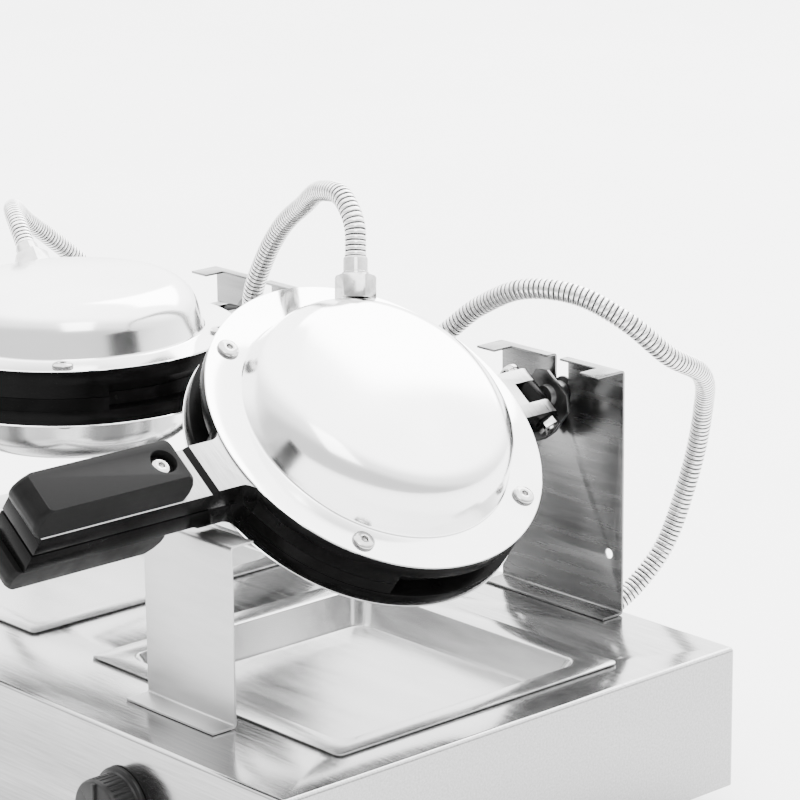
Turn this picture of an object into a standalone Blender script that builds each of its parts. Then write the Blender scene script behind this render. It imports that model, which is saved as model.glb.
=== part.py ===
"""Twin-head bubble waffle maker.

Two round heads stand side by side on a stainless base. Each head is a pair of black cast
mould halves with domed steel covers. A head swivels about a shaft that lies in the open slot
of its rear bracket, and its upper half opens on a hinge pin just in front of that bracket.

Metres, +Z up. X runs along the machine, -Y is the side with the handles and the controls.
A head's own frame has its origin on the swivel shaft's axis at the middle of the mould,
with x across, y towards the hinge and z out of the upper half.
"""

import math

import bmesh
import bpy
from mathutils import Matrix, Vector

for old in list(bpy.data.objects):
    bpy.data.objects.remove(old, do_unlink=True)

# Fits and cuts
FIT_GAP = 0.0003
CUT_OVERRUN = 0.002

# Whole machine
HEAD_SPACING = 0.2905
RIGHT_TILT = math.radians(37.6)
LEFT_TILT = 0.0

# Base housing and what it stands on. A reach is measured outwards from the mould's flange,
# an inset inwards from it, here and in every group below
HOUSING_WIDTH = 0.580
HOUSING_FRONT_REACH = 0.080
HOUSING_REAR_REACH = 0.065
HOUSING_HEIGHT = 0.090
HOUSING_SHEET = 0.0015
BASE_PLATE_SHEET = 0.0012
FOOT_HEIGHT = 0.018
FOOT_RADIUS = 0.015
FOOT_INSET = 0.035
FOOT_TAPER = 0.003

# Drip trays in the deck
TRAY_SIDE_REACH = 0.006
TRAY_REAR_INSET = 0.009
TRAY_FRONT_REACH = 0.014
TRAY_RIM = 0.016
TRAY_DEPTH = 0.022
TRAY_SHEET = 0.001
TRAY_SLOPE = 0.010

# Rear brackets
BRACKET_REACH = 0.0572
BRACKET_HALF_WIDTH = 0.0543
BRACKET_SHEET = 0.0015
BRACKET_ABOVE_AXIS = 0.0244
BRACKET_FLANGE = 0.0074
BRACKET_TAB_WIDTH = 0.0158
BRACKET_TAB_REACH = 0.0224
BRACKET_HOLE_RADIUS = 0.00325
BRACKET_HOLE_X = 0.0425
BRACKET_HOLE_DROP = 0.0977

# Handle rests
REST_REACH = 0.0281
REST_HALF_WIDTH = 0.0405
REST_SHEET = 0.0015
REST_FLANGE = 0.017
REST_CLEARANCE = 0.001
SHEET_FOOT = 0.0165

# Mould halves
FLANGE_RADIUS = 0.110
AXIS_REACH = 0.026
HEAD_THICKNESS = 0.0371
CASTING_INSET = 0.0005
WAIST_DEPTH = 0.0125
WAIST_HEIGHT = 0.0085
LOBE_INSET = 0.0005
LOBE_START = math.radians(-98)
LOBE_END = math.radians(-25)
MOULD_INSET = 0.019
MOULD_RECESS = 0.0021
CAVITY_RADIUS = 0.0118
CAVITY_PITCH = 0.027
CAVITY_DEPTH = 0.0105
CAVITY_EDGE = 0.0035

# Handle arms
BOSS_REACH = 0.022
BOSS_HALF_WIDTH = 0.0173
BOSS_FILLET = 0.009
ARM_REACH = 0.147
SEAT_DROP = 0.0023
STEP_RUN = 0.0015
SLOT_HALF_GAP = 0.00085

# Grips
GRIP_REACH = 0.042
GRIP_LENGTH = 0.111
GRIP_HEIGHT = 0.0200
GRIP_FOOT_HALF_WIDTH = 0.0166
GRIP_TOP_HALF_WIDTH = 0.0140
GRIP_NOSE = 0.009
GRIP_CHAMFER = 0.0018
GRIP_SCREW_INSET = 0.0175
GRIP_SCREW_SINK = 0.0035
GRIP_SINK_CLEARANCE = 0.0013

# Lid hinge
HINGE_REACH = 0.029
EAR_RADIUS = 0.010
EAR_INNER = 0.008
EAR_OUTER = 0.018
HINGE_PIN_RADIUS = 0.004
HINGE_HEAD_RADIUS = 0.0068
HINGE_HEAD_HEIGHT = 0.0044
HINGE_SPACER = 0.0038
HINGE_SPACER_RADIUS = 0.0060
HINGE_NUT_RADIUS = 0.0075
HINGE_NUT_HEIGHT = 0.0062
HINGE_PIN_STUB = 0.0012

# Swivel bracket, shaft and nut
LUG_HALF_WIDTH = 0.0155
LUG_REACH = 0.017
LUG_DROP = 0.0046
SWIVEL_PLATE_REACH = 0.0455
SWIVEL_PLATE = 0.002
SWIVEL_HALF_WIDTH = 0.0185
SWIVEL_TOP = 0.012
SWIVEL_TOP_CHAMFER = 0.0075
SWIVEL_SIDE_DROP = 0.015
SWIVEL_FOOT_REACH = 0.004
SWIVEL_SCREW_X = 0.009
SWIVEL_SCREW_REACH = 0.009
SHAFT_RADIUS = 0.0053
SHAFT_COLLAR_RADIUS = 0.009
SHAFT_HEAD_RADIUS = 0.0072
SHAFT_HEAD_HEIGHT = 0.0042
SHAFT_TAIL = 0.0112
SHAFT_KEEPER_RADIUS = 0.010
SHAFT_KEEPER = 0.0016

# Covers
COVER_SHEET = 0.001
DOME_INSET = 0.023
DOME_HEIGHT = 0.038
DOME_WALL_ANGLE = math.radians(14)
DOME_SHOULDER = 0.026
DOME_CROWN_ANGLE = math.radians(7)

# Screws of the covers, grips and sheet parts
SCREW_HEAD_RADIUS = 0.0068
SCREW_HEAD_HEIGHT = 0.0028
SCREW_HEAD_TOP_RADIUS = 0.0036
SCREW_HEAD_RIM = 0.0009
SCREW_SHANK_RADIUS = 0.0029
COVER_SCREW_INSET = 0.0108
COVER_SCREW_ANGLES = tuple(math.radians(a) for a in (40.4, 139.6, 220.4, 319.6))
COVER_SCREW_DEPTH = 0.0055
SEAT_SCREW_DEPTH = 0.008

# Heating elements
ELEMENT_INSET = 0.050
ELEMENT_RADIUS = 0.0035
ELEMENT_LEAD = 0.014
ELEMENT_OPENING = math.radians(24)

# Conduits and their glands
GLAND_ANGLE = math.radians(160)
GLAND_SEAT_LIFT = math.radians(24)
GLAND_LIFT = math.radians(32)
GLAND_STANDOFF = 0.0006
GLAND_NUT_RADIUS = 0.0127
GLAND_NUT_LENGTH = 0.0148
FERRULE_RADIUS = 0.0076
FERRULE_LENGTH = 0.0112
GLAND_BORE = 0.0045
GLAND_NUT_CHAMFER = 0.0014
CONDUIT_RADIUS = 0.0067
CONDUIT_BORE_RADIUS = 0.0040
CONDUIT_GROOVE = 0.0009
CONDUIT_RIB_PITCH = 0.0270
CONDUIT_BORE_STEP = 0.0190
REAR_GLAND_LOWER_X = -0.017
REAR_GLAND_UPPER_X = -0.100
REAR_GLAND_DROP = 0.029

# Controls on the front wall
KNOB_RADIUS = 0.021
KNOB_LENGTH = 0.017
KNOB_SKIRT_RADIUS = 0.024
KNOB_SKIRT = 0.003
KNOB_POINTER = 0.0016
KNOB_POINTER_HALF_WIDTH = 0.0012
KNOB_SHAFT_RADIUS = 0.003
KNOB_SHAFT_OUT = 0.012
KNOB_SOCKET_DEPTH = 0.0125
THERMOSTAT_SIZE = (0.044, 0.034, 0.036)
SWITCH_HALF_WIDTH = 0.0068
SWITCH_HALF_HEIGHT = 0.0112
SWITCH_WALL = 0.0016
SWITCH_LIP = 0.0016
SWITCH_LIP_OUT = 0.0018
SWITCH_DEPTH = 0.020
ROCKER_PIVOT = 0.0035
ROCKER_REST_TILT = math.radians(10)
ROCKER_PEAK = 0.0065
ROCKER_VALLEY = 0.0040
PANEL_SHEET = 0.0015
PANEL_HALF_HEIGHT = 0.020
PANEL_MARGIN = 0.020
CORD_GLAND_INSET = 0.055
CORD_GLAND_RADIUS = 0.012
CORD_GLAND_OUT = 0.022
CORD_GLAND_BORE = 0.0045

# Facet counts
DISC_SIDES = 30
ROUND_SIDES = 12
SCREW_SIDES = 8
CAVITY_SIDES = 6
TUBE_SIDES = 8
ELEMENT_SIDES = 5
ELEMENT_STEPS = 14
OUTER_SHOULDER_STEPS = 3
INNER_SHOULDER_STEPS = 2
ARC_STEPS = 6
PATH_STEPS = 8

# Distances from the head's centre that follow from the mould's flange
MOULD_RADIUS = FLANGE_RADIUS - MOULD_INSET
DOME_RADIUS = FLANGE_RADIUS - DOME_INSET
COVER_SCREW_CIRCLE = FLANGE_RADIUS - COVER_SCREW_INSET
ELEMENT_RING = FLANGE_RADIUS - ELEMENT_INSET
BOSS_END = FLANGE_RADIUS + BOSS_REACH
ARM_END = FLANGE_RADIUS + ARM_REACH
GRIP_START = FLANGE_RADIUS + GRIP_REACH
REST_FACE = FLANGE_RADIUS + REST_REACH
HINGE_Y = FLANGE_RADIUS + HINGE_REACH
LUG_END = FLANGE_RADIUS + LUG_REACH
SWIVEL_PLATE_Y = FLANGE_RADIUS + SWIVEL_PLATE_REACH
SWIVEL_FOOT_START = FLANGE_RADIUS + SWIVEL_FOOT_REACH
SWIVEL_SCREW_Y = FLANGE_RADIUS + SWIVEL_SCREW_REACH
BRACKET_FRONT = FLANGE_RADIUS + BRACKET_REACH
TRAY_HALF_WIDTH = FLANGE_RADIUS + TRAY_SIDE_REACH
TRAY_REAR = FLANGE_RADIUS - TRAY_REAR_INSET
TRAY_FRONT = FLANGE_RADIUS + TRAY_FRONT_REACH
HOUSING_FRONT = FLANGE_RADIUS + HOUSING_FRONT_REACH
HOUSING_REAR = FLANGE_RADIUS + HOUSING_REAR_REACH

# Heights and places that follow from the sizes above
DECK_Z = FOOT_HEIGHT + HOUSING_HEIGHT
AXIS_Z = DECK_Z + FLANGE_RADIUS + AXIS_REACH
COVER_TOP = HEAD_THICKNESS / 2
CASTING_TOP = COVER_TOP - COVER_SHEET - FIT_GAP
PARTING = FIT_GAP / 2
SEAT_Z = CASTING_TOP - SEAT_DROP
GRIP_BOTTOM = SEAT_Z + FIT_GAP
GRIP_TOP = GRIP_BOTTOM + GRIP_HEIGHT
GRIP_END = GRIP_START + GRIP_LENGTH
# The arm's boss turns about the swivel axis just above the rest
REST_TOP = AXIS_Z - math.hypot(BOSS_HALF_WIDTH, CASTING_TOP) - REST_CLEARANCE
GLAND_REACH = GLAND_NUT_LENGTH + FERRULE_LENGTH + FIT_GAP
CONTROL_Z = FOOT_HEIGHT + HOUSING_HEIGHT / 2
REAR_REACH = HOUSING_REAR + FIT_GAP + PANEL_SHEET / 2 + GLAND_REACH
ROW_SHIFT = (GRIP_END - REAR_REACH) / 2
REAR_GLAND_Z = DECK_Z - REAR_GLAND_DROP
CORD_GLAND_X = HOUSING_WIDTH / 2 - CORD_GLAND_INSET

TO_X = Matrix(((0, 0, 1, 0), (1, 0, 0, 0), (0, 1, 0, 0), (0, 0, 0, 1)))
TO_Y = Matrix(((1, 0, 0, 0), (0, 0, 1, 0), (0, 1, 0, 0), (0, 0, 0, 1)))
FLIP = Matrix.Diagonal((1, 1, -1, 1))

# Share of the grip's nose length by share of its height, from the arm up
GRIP_NOSE_SHARES = ((0.0, 0.30), (0.22, 0.04), (0.50, 0.0), (0.78, 0.22), (1.0, 0.70))

# Hose routes between the end runs, measured from the head's centre
RIGHT_UPPER_ROUTE = (
    (-0.070, 0.047, 0.133),
    (-0.099, 0.055, 0.132),
    (-0.132, 0.068, 0.116),
    (-0.164, 0.077, 0.096),
    (-0.190, 0.083, 0.069),
    (-0.211, 0.089, 0.036),
    (-0.224, 0.107, 0.001),
    (-0.226, 0.139, -0.028),
    (-0.222, 0.187, -0.055),
    (-0.199, 0.232, -0.081),
    (-0.165, 0.259, -0.113),
    (-0.125, 0.259, -0.147),
)
RIGHT_LOWER_ROUTE = (
    (-0.147, 0.060, 0.020),
    (-0.152, 0.093, 0.019),
    (-0.136, 0.121, 0.017),
    (-0.097, 0.138, 0.019),
    (-0.055, 0.150, 0.050),
    (-0.019, 0.154, 0.066),
    (0.014, 0.168, 0.065),
    (0.039, 0.185, 0.050),
    (0.051, 0.210, 0.026),
    (0.044, 0.249, 0.005),
    (0.020, 0.277, -0.031),
    (0.004, 0.281, -0.081),
    (-0.008, 0.264, -0.135),
)
LEFT_UPPER_ROUTE = (
    (-0.146, 0.060, 0.068),
    (-0.170, 0.088, 0.052),
    (-0.180, 0.124, 0.026),
    (-0.174, 0.162, -0.010),
    (-0.158, 0.198, -0.046),
    (-0.139, 0.232, -0.082),
    (-0.122, 0.256, -0.116),
    (-0.108, 0.252, -0.149),
)
LEFT_LOWER_ROUTE = (
    (-0.145, 0.062, -0.074),
    (-0.165, 0.094, -0.084),
    (-0.164, 0.136, -0.086),
    (-0.145, 0.180, -0.086),
    (-0.112, 0.216, -0.088),
    (-0.073, 0.242, -0.096),
    (-0.040, 0.258, -0.114),
    (-0.021, 0.253, -0.145),
)


def lift(outline, low, high, place=Matrix()):
    """A closed prism over an outline of x and y, from low to high along z, then placed."""

    def add(bm):
        bottom = [bm.verts.new(place @ Vector((x, y, low))) for x, y in outline]
        top = [bm.verts.new(place @ Vector((x, y, high))) for x, y in outline]
        bm.faces.new(bottom[::-1])
        bm.faces.new(top)
        for k, corner in enumerate(bottom):
            after = (k + 1) % len(bottom)
            bm.faces.new((corner, bottom[after], top[after], top[k]))

    return add


def across(profile, low, high, place=Matrix()):
    """A closed prism over a profile of y and z, from low to high along x."""
    return lift(profile, low, high, place @ TO_X)


def along(profile, low, high, place=Matrix()):
    """A closed prism over a profile of x and z, from low to high along y."""
    return lift(profile, low, high, place @ TO_Y)


def stack(levels, place=Matrix()):
    """A closed body through outlines of x and y, each at its own height."""

    def add(bm):
        rings = []
        for outline, z in levels:
            rings.append([bm.verts.new(place @ Vector((x, y, z))) for x, y in outline])
        for near, far in zip(rings, rings[1:]):
            bridge(bm, near, far)
        bm.faces.new(rings[0])
        bm.faces.new(rings[-1])

    return add


def block(low, high, place=Matrix()):
    """A box between two corners."""
    outline = ((low[0], low[1]), (high[0], low[1]), (high[0], high[1]), (low[0], high[1]))
    return lift(outline, low[2], high[2], place)


def turned(profile, sides, place=Matrix()):
    """A solid of revolution about z. A profile off the axis at both ends is a closed loop."""

    def add(bm):
        rings = []
        for radius, z in profile:
            count = sides if radius > 0 else 1
            turns = [2 * math.pi * (k + 0.5) / sides for k in range(count)]
            spots = [Vector((radius * math.cos(t), radius * math.sin(t), z)) for t in turns]
            rings.append([bm.verts.new(place @ spot) for spot in spots])
        pairs = list(zip(rings, rings[1:]))
        if profile[0][0] > 0:
            pairs.append((rings[-1], rings[0]))
        for near, far in pairs:
            bridge(bm, near, far)

    return add


def bridge(bm, near, far):
    """Faces between two rings of corners, either of which may be one point."""
    for k in range(max(len(near), len(far))):
        loop = [near[k % len(near)], near[(k + 1) % len(near)]]
        loop += [far[(k + 1) % len(far)], far[k % len(far)]]
        corners = list(dict.fromkeys(loop))
        if len(corners) > 2:
            bm.faces.new(corners)


def circle(radius, sides, centre=(0, 0), start=0.0):
    """The corners of a round outline, counted from start."""
    turns = [start + 2 * math.pi * k / sides for k in range(sides)]
    return [(centre[0] + radius * math.cos(t), centre[1] + radius * math.sin(t)) for t in turns]


def arc(radius, centre, first, last, steps=ARC_STEPS):
    """Points on an arc from the angle first to the angle last."""
    turns = [first + (last - first) * k / steps for k in range(steps + 1)]
    return [(centre[0] + radius * math.cos(t), centre[1] + radius * math.sin(t)) for t in turns]


def material(name, colour, roughness, metallic):
    """A plain surface of one colour."""
    made = bpy.data.materials.new(name)
    made.use_nodes = True
    shader = made.node_tree.nodes["Principled BSDF"]
    shader.inputs["Base Color"].default_value = (*colour, 1)
    shader.inputs["Roughness"].default_value = roughness
    shader.inputs["Metallic"].default_value = metallic
    return made


FINISHES = {
    "polished": ((0.85, 0.85, 0.86), 0.08, 1.0),
    "brushed": ((0.72, 0.72, 0.73), 0.30, 1.0),
    "cast": ((0.03, 0.03, 0.03), 0.35, 0.6),
    "plastic": ((0.04, 0.04, 0.04), 0.45, 0.0),
    "rubber": ((0.02, 0.02, 0.02), 0.85, 0.0),
    "steel": ((0.60, 0.60, 0.61), 0.25, 1.0),
    "element": ((0.30, 0.28, 0.26), 0.55, 0.8),
    "ceramic": ((0.80, 0.78, 0.72), 0.60, 0.0),
}


def solid(name, finish, shapes, parent=None, place=(0, 0, 0)):
    """One named object from a list of closed shapes."""
    bm = bmesh.new()
    for shape in shapes:
        shape(bm)
    bmesh.ops.recalc_face_normals(bm, faces=bm.faces)
    mesh = bpy.data.meshes.new(name)
    bm.to_mesh(mesh)
    bm.free()
    made = bpy.data.objects.new(name, mesh)
    bpy.context.collection.objects.link(made)
    made.parent = parent
    made.location = place
    if finish:
        made.data.materials.append(material(name, *FINISHES[finish]))
        mesh.shade_smooth()
        mesh.set_sharp_from_angle(angle=math.radians(30))
    return made


def tool(name, shapes, parent=None, place=(0, 0, 0)):
    """A guide shape for a Boolean, not part of the machine."""
    made = solid(name, None, shapes, parent, place)
    made.hide_render = True
    made.display_type = "WIRE"
    return made


def combine(target, operation, helper):
    """Cuts a helper out of a target, or fuses it on."""
    change = target.modifiers.new(helper.name, "BOOLEAN")
    change.operation = operation
    change.solver = "EXACT"
    change.object = helper


def cut(target, shapes):
    """Removes closed shapes that don't touch each other from a target."""
    label = f"{target.name}_cut_{len(target.modifiers)}"
    combine(target, "DIFFERENCE", tool(label, shapes, target.parent, target.location))


def fuse(target, shapes):
    """Adds closed shapes to a target, one after another."""
    for shape in shapes:
        label = f"{target.name}_part_{len(target.modifiers)}"
        combine(target, "UNION", tool(label, [shape], target.parent, target.location))


def turn_to(direction, origin):
    """A placement whose z axis points along direction."""
    spin = Vector(direction).to_track_quat("Z", "Y").to_matrix().to_4x4()
    return Matrix.Translation(origin) @ spin


def screw(shank, place, seat=FIT_GAP):
    """A flanged button screw, its head above seat and its shank down to -shank."""
    profile = (
        (0, SCREW_HEAD_HEIGHT),
        (SCREW_HEAD_TOP_RADIUS, SCREW_HEAD_HEIGHT),
        (SCREW_HEAD_RADIUS, SCREW_HEAD_RIM),
        (SCREW_HEAD_RADIUS, seat),
        (SCREW_SHANK_RADIUS, seat),
        (SCREW_SHANK_RADIUS, -shank),
        (0, -shank),
    )
    return turned(profile, SCREW_SIDES, place)


def screw_hole(depth, place):
    """The clearance hole of a screw's shank."""
    return turned(
        (
            (0, CUT_OVERRUN),
            (SCREW_SHANK_RADIUS + FIT_GAP, CUT_OVERRUN),
            (SCREW_SHANK_RADIUS + FIT_GAP, -depth),
            (0, -depth),
        ),
        SCREW_SIDES,
        place,
    )


def rod(radius, low, high, sides, place=Matrix()):
    """A round or six-sided bar from low to high along z."""
    return turned(((0, low), (radius, low), (radius, high), (0, high)), sides, place)


# Profiles of the cover, worked out once for its outside and its inside


def dome_profile(radius, height, shoulder, steps=OUTER_SHOULDER_STEPS):
    """Points from the foot of the dome to its crown, as radius and height above the flange."""
    wall = DOME_WALL_ANGLE
    crown = DOME_CROWN_ANGLE
    rise = math.tan(crown / 2)
    side = math.tan(wall)
    # The shoulder's centre is where its arc meets the sloping wall and the crown together
    sink = shoulder * math.cos(crown)
    reach = shoulder * (math.cos(wall) + math.sin(wall) * side)
    edge = shoulder * math.sin(crown)
    centre = (radius - reach - (height - sink - rise * edge) * side) / (1 - rise * side)
    level = height - rise * (centre + edge) - sink
    points = [(radius, 0)]
    points += arc(shoulder, (centre, level), wall, math.pi / 2 - crown, steps)
    points.append((0, height))
    return points


def dome_point(angle, lift_angle):
    """The point on the dome's shoulder whose normal is raised by lift_angle."""
    points = dome_profile(DOME_RADIUS, DOME_HEIGHT, DOME_SHOULDER)
    first, last = points[1], points[-2]
    wall, top = DOME_WALL_ANGLE, math.pi / 2 - DOME_CROWN_ANGLE
    centre_r = first[0] - DOME_SHOULDER * math.cos(wall)
    centre_z = last[1] - DOME_SHOULDER * math.sin(top)
    radius = centre_r + DOME_SHOULDER * math.cos(lift_angle)
    height = COVER_TOP + centre_z + DOME_SHOULDER * math.sin(lift_angle)
    return Vector((radius * math.cos(angle), radius * math.sin(angle), height))


def gland_axis():
    """Direction in which a cover's gland points, raised from the plane of the mould."""
    flat = math.cos(GLAND_LIFT)
    x, y = flat * math.cos(GLAND_ANGLE), flat * math.sin(GLAND_ANGLE)
    return Vector((x, y, math.sin(GLAND_LIFT)))


def gland_frame(side):
    """Placement of a cover's gland, its z axis out along the hose."""
    seat = dome_point(GLAND_ANGLE, GLAND_SEAT_LIFT)
    axis = gland_axis()
    place = turn_to(axis, seat + axis * GLAND_STANDOFF)
    return side @ place


def gland_shapes(place):
    """A hex nut and the ferrule that leaves it."""
    inner = GLAND_NUT_RADIUS - GLAND_NUT_CHAMFER
    shoulder = GLAND_NUT_LENGTH - GLAND_NUT_CHAMFER
    nut = (
        (0, 0),
        (GLAND_NUT_RADIUS, 0),
        (GLAND_NUT_RADIUS, shoulder),
        (inner, GLAND_NUT_LENGTH),
        (0, GLAND_NUT_LENGTH),
    )
    return [turned(nut, 6, place), rod(FERRULE_RADIUS, shoulder, GLAND_REACH, ROUND_SIDES, place)]


def gland_bore(place):
    """The passage through a gland for the wires."""
    return rod(GLAND_BORE, -CUT_OVERRUN, GLAND_REACH + CUT_OVERRUN, SCREW_SIDES, place)


def cover_gland(name, side, parent, place):
    """The gland that stands on a cover."""
    frame = gland_frame(side)
    nut, ferrule = gland_shapes(frame)
    made = solid(name, "steel", [nut], parent, place)
    fuse(made, [ferrule])
    cut(made, [gland_bore(frame)])
    return made


def cover_screw_spots(z):
    """Where the cover's screws stand, at the height z."""
    spots = []
    for angle in COVER_SCREW_ANGLES:
        x, y = COVER_SCREW_CIRCLE * math.cos(angle), COVER_SCREW_CIRCLE * math.sin(angle)
        spots.append(Matrix.Translation((x, y, z)))
    return spots


def swivel_screw_spots(z):
    """Where the swivel bracket's screws stand, at the height z."""
    return [Matrix.Translation((s * SWIVEL_SCREW_X, SWIVEL_SCREW_Y, z)) for s in (-1, 1)]


# Mould halves


def waist_outline():
    """The casting's outline near the parting plane: drawn in, but flush along one lobe."""
    points = []
    lobe = FLANGE_RADIUS - CASTING_INSET - LOBE_INSET
    waist = FLANGE_RADIUS - WAIST_DEPTH
    steps = DISC_SIDES // 4
    points += arc(lobe, (0, 0), LOBE_START, LOBE_END, steps)
    points += arc(waist, (0, 0), LOBE_END, LOBE_START + 2 * math.pi, DISC_SIDES - steps)
    return points


def cavity_centres():
    """Every bubble of a hexagonal pattern that fits inside the mould's rim."""
    row_pitch = CAVITY_PITCH * math.sqrt(3) / 2
    limit = MOULD_RADIUS - CAVITY_RADIUS - CAVITY_EDGE
    rows = int(limit / row_pitch)
    centres = []
    for row in range(-rows, rows + 1):
        shift = 0 if row % 2 else 1 / 2
        reach = int(limit / CAVITY_PITCH) + 1
        spots = [((k + shift) * CAVITY_PITCH, row * row_pitch) for k in range(-reach, reach + 1)]
        centres += [spot for spot in spots if math.hypot(*spot) <= limit]
    return centres


def cavity(centre, side):
    """The cutter of one bubble, from below the recess's floor to its crown."""
    floor = PARTING + MOULD_RECESS
    profile = (
        (0, floor - MOULD_RECESS / 2),
        (CAVITY_RADIUS, floor - MOULD_RECESS / 2),
        (CAVITY_RADIUS, floor),
        (0, floor + CAVITY_DEPTH),
    )
    return turned(profile, CAVITY_SIDES, side @ Matrix.Translation((*centre, 0)))


def arm_shapes(side):
    """The boss beside the mould, its flared root, and the arm under the grip."""
    inside = FLANGE_RADIUS - 2 * WAIST_DEPTH
    foot = BOSS_END + STEP_RUN
    beam = (
        (-inside, PARTING),
        (-inside, CASTING_TOP),
        (-BOSS_END, CASTING_TOP),
        (-foot, SEAT_Z),
        (-ARM_END, SEAT_Z),
        (-ARM_END, SLOT_HALF_GAP),
        (-BOSS_END, SLOT_HALF_GAP),
        (-BOSS_END, PARTING),
    )
    wide = BOSS_HALF_WIDTH + BOSS_FILLET
    rim = math.sqrt((FLANGE_RADIUS - CASTING_INSET) ** 2 - wide**2)
    root = [(wide, -inside), (wide, -rim)]
    root += arc(BOSS_FILLET, (wide, -rim - BOSS_FILLET), math.pi / 2, math.pi, 3)[1:]
    root += [(-x, y) for x, y in root[::-1]]
    return [
        across(beam, -BOSS_HALF_WIDTH, BOSS_HALF_WIDTH, side),
        lift(root, PARTING, CASTING_TOP - FIT_GAP, side),
    ]


def hinge_profile(side_sign):
    """Side view of an ear or knuckle, running back to a round end about the pin."""
    start = FLANGE_RADIUS - WAIST_DEPTH - CUT_OVERRUN
    dip = math.asin(PARTING / EAR_RADIUS)
    round_end = arc(EAR_RADIUS, (HINGE_Y, 0), math.pi / 2, -math.pi - dip, 12)
    profile = [(start, PARTING), (start, EAR_RADIUS)] + round_end
    return [(y, z * side_sign) for y, z in profile]


def grip_screw_spot(z):
    """Where a grip's screw stands, at the height z."""
    return Matrix.Translation((0, -(GRIP_START + GRIP_SCREW_INSET), z))


def casting(name, side, sign, parent, place):
    """One mould half with its arm and its half of the hinge."""
    radius = FLANGE_RADIUS - CASTING_INSET
    band_low = WAIST_HEIGHT
    band = circle(radius, DISC_SIDES)
    made = solid(name, "cast", [lift(band, band_low, CASTING_TOP, side)], parent, place)
    fuse(made, [lift(waist_outline(), PARTING, band_low + MOULD_RECESS, side)])
    fuse(made, arm_shapes(side))
    if sign > 0:
        ear = hinge_profile(1)
        fuse(made, [across(ear, s * EAR_INNER, s * EAR_OUTER) for s in (-1, 1)])
    else:
        knuckle = hinge_profile(-1)
        half = EAR_INNER - FIT_GAP
        lug_start = FLANGE_RADIUS - WAIST_DEPTH - CUT_OVERRUN
        lug_rim = FLANGE_RADIUS + CUT_OVERRUN
        deep = -(COVER_TOP + LUG_DROP)
        lug = (
            (lug_start, -PARTING),
            (LUG_END, -PARTING),
            (LUG_END, deep),
            (lug_rim, deep),
            (lug_rim, -CASTING_TOP + COVER_SHEET),
            (lug_start, -CASTING_TOP + COVER_SHEET),
        )
        fuse(made, [across(knuckle, -half, half), across(lug, -LUG_HALF_WIDTH, LUG_HALF_WIDTH)])
        cut(made, [screw_hole(SEAT_SCREW_DEPTH, FLIP @ spot) for spot in swivel_screw_spots(-deep)])
    recess = circle(MOULD_RADIUS, DISC_SIDES)
    cut(made, [lift(recess, PARTING - CUT_OVERRUN, PARTING + MOULD_RECESS, side)])
    cut(made, [cavity(centre, side) for centre in cavity_centres()])
    holes = [screw_hole(COVER_SCREW_DEPTH, side @ spot) for spot in cover_screw_spots(CASTING_TOP)]
    holes.append(screw_hole(SEAT_SCREW_DEPTH, side @ grip_screw_spot(SEAT_Z)))
    bore = HINGE_PIN_RADIUS + FIT_GAP
    reach = EAR_OUTER + CUT_OVERRUN
    holes.append(across(circle(bore, ROUND_SIDES, (HINGE_Y, 0)), -reach, reach))
    cut(made, holes)
    return made


def cover(name, side, parent, place):
    """A domed sheet cover with a flat screwed flange and the gland's hole."""
    outer = dome_profile(DOME_RADIUS, DOME_HEIGHT, DOME_SHOULDER)
    inner_shoulder = DOME_SHOULDER - COVER_SHEET
    inner = dome_profile(DOME_RADIUS - COVER_SHEET, DOME_HEIGHT, inner_shoulder, INNER_SHOULDER_STEPS)
    outside = [(r, z + COVER_TOP) for r, z in outer]
    low = COVER_TOP - COVER_SHEET
    inside = [(r, z + low) for r, z in inner]
    profile = inside[::-1] + [(FLANGE_RADIUS, low), (FLANGE_RADIUS, COVER_TOP)] + outside
    made = solid(name, "polished", [turned(profile, DISC_SIDES, side)], parent, place)
    reach = COVER_SHEET * 4
    holes = [rod(GLAND_BORE, -reach, reach, SCREW_SIDES, gland_frame(side))]
    spots = [side @ spot for spot in cover_screw_spots(COVER_TOP)]
    if side == FLIP:
        seat = -COVER_SHEET / 2
        fuse(made, [screw(COVER_SHEET + COVER_SCREW_DEPTH - FIT_GAP, spot, seat) for spot in spots])
    else:
        holes += [screw_hole(COVER_SHEET + CUT_OVERRUN, spot) for spot in spots]
    cut(made, holes)
    return made


def element(name, side, parent, place):
    """A ring heater on the back of the casting with two leads that stand up."""
    level = CASTING_TOP + FIT_GAP + ELEMENT_RADIUS
    half = ELEMENT_OPENING / 2
    centre = GLAND_ANGLE - math.pi
    turns = arc(ELEMENT_RING, (0, 0), centre + half, centre + 2 * math.pi - half, ELEMENT_STEPS)
    path = [Vector((x, y, level)) for x, y in turns]
    for index, spot in ((0, path[0]), (len(path), path[-1])):
        path.insert(index if index == 0 else len(path), spot + Vector((0, 0, ELEMENT_LEAD)))
    rings = [(spot, ELEMENT_RADIUS) for spot in path]
    return solid(name, "element", [swept(rings, ELEMENT_SIDES, side)], parent, place)


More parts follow.
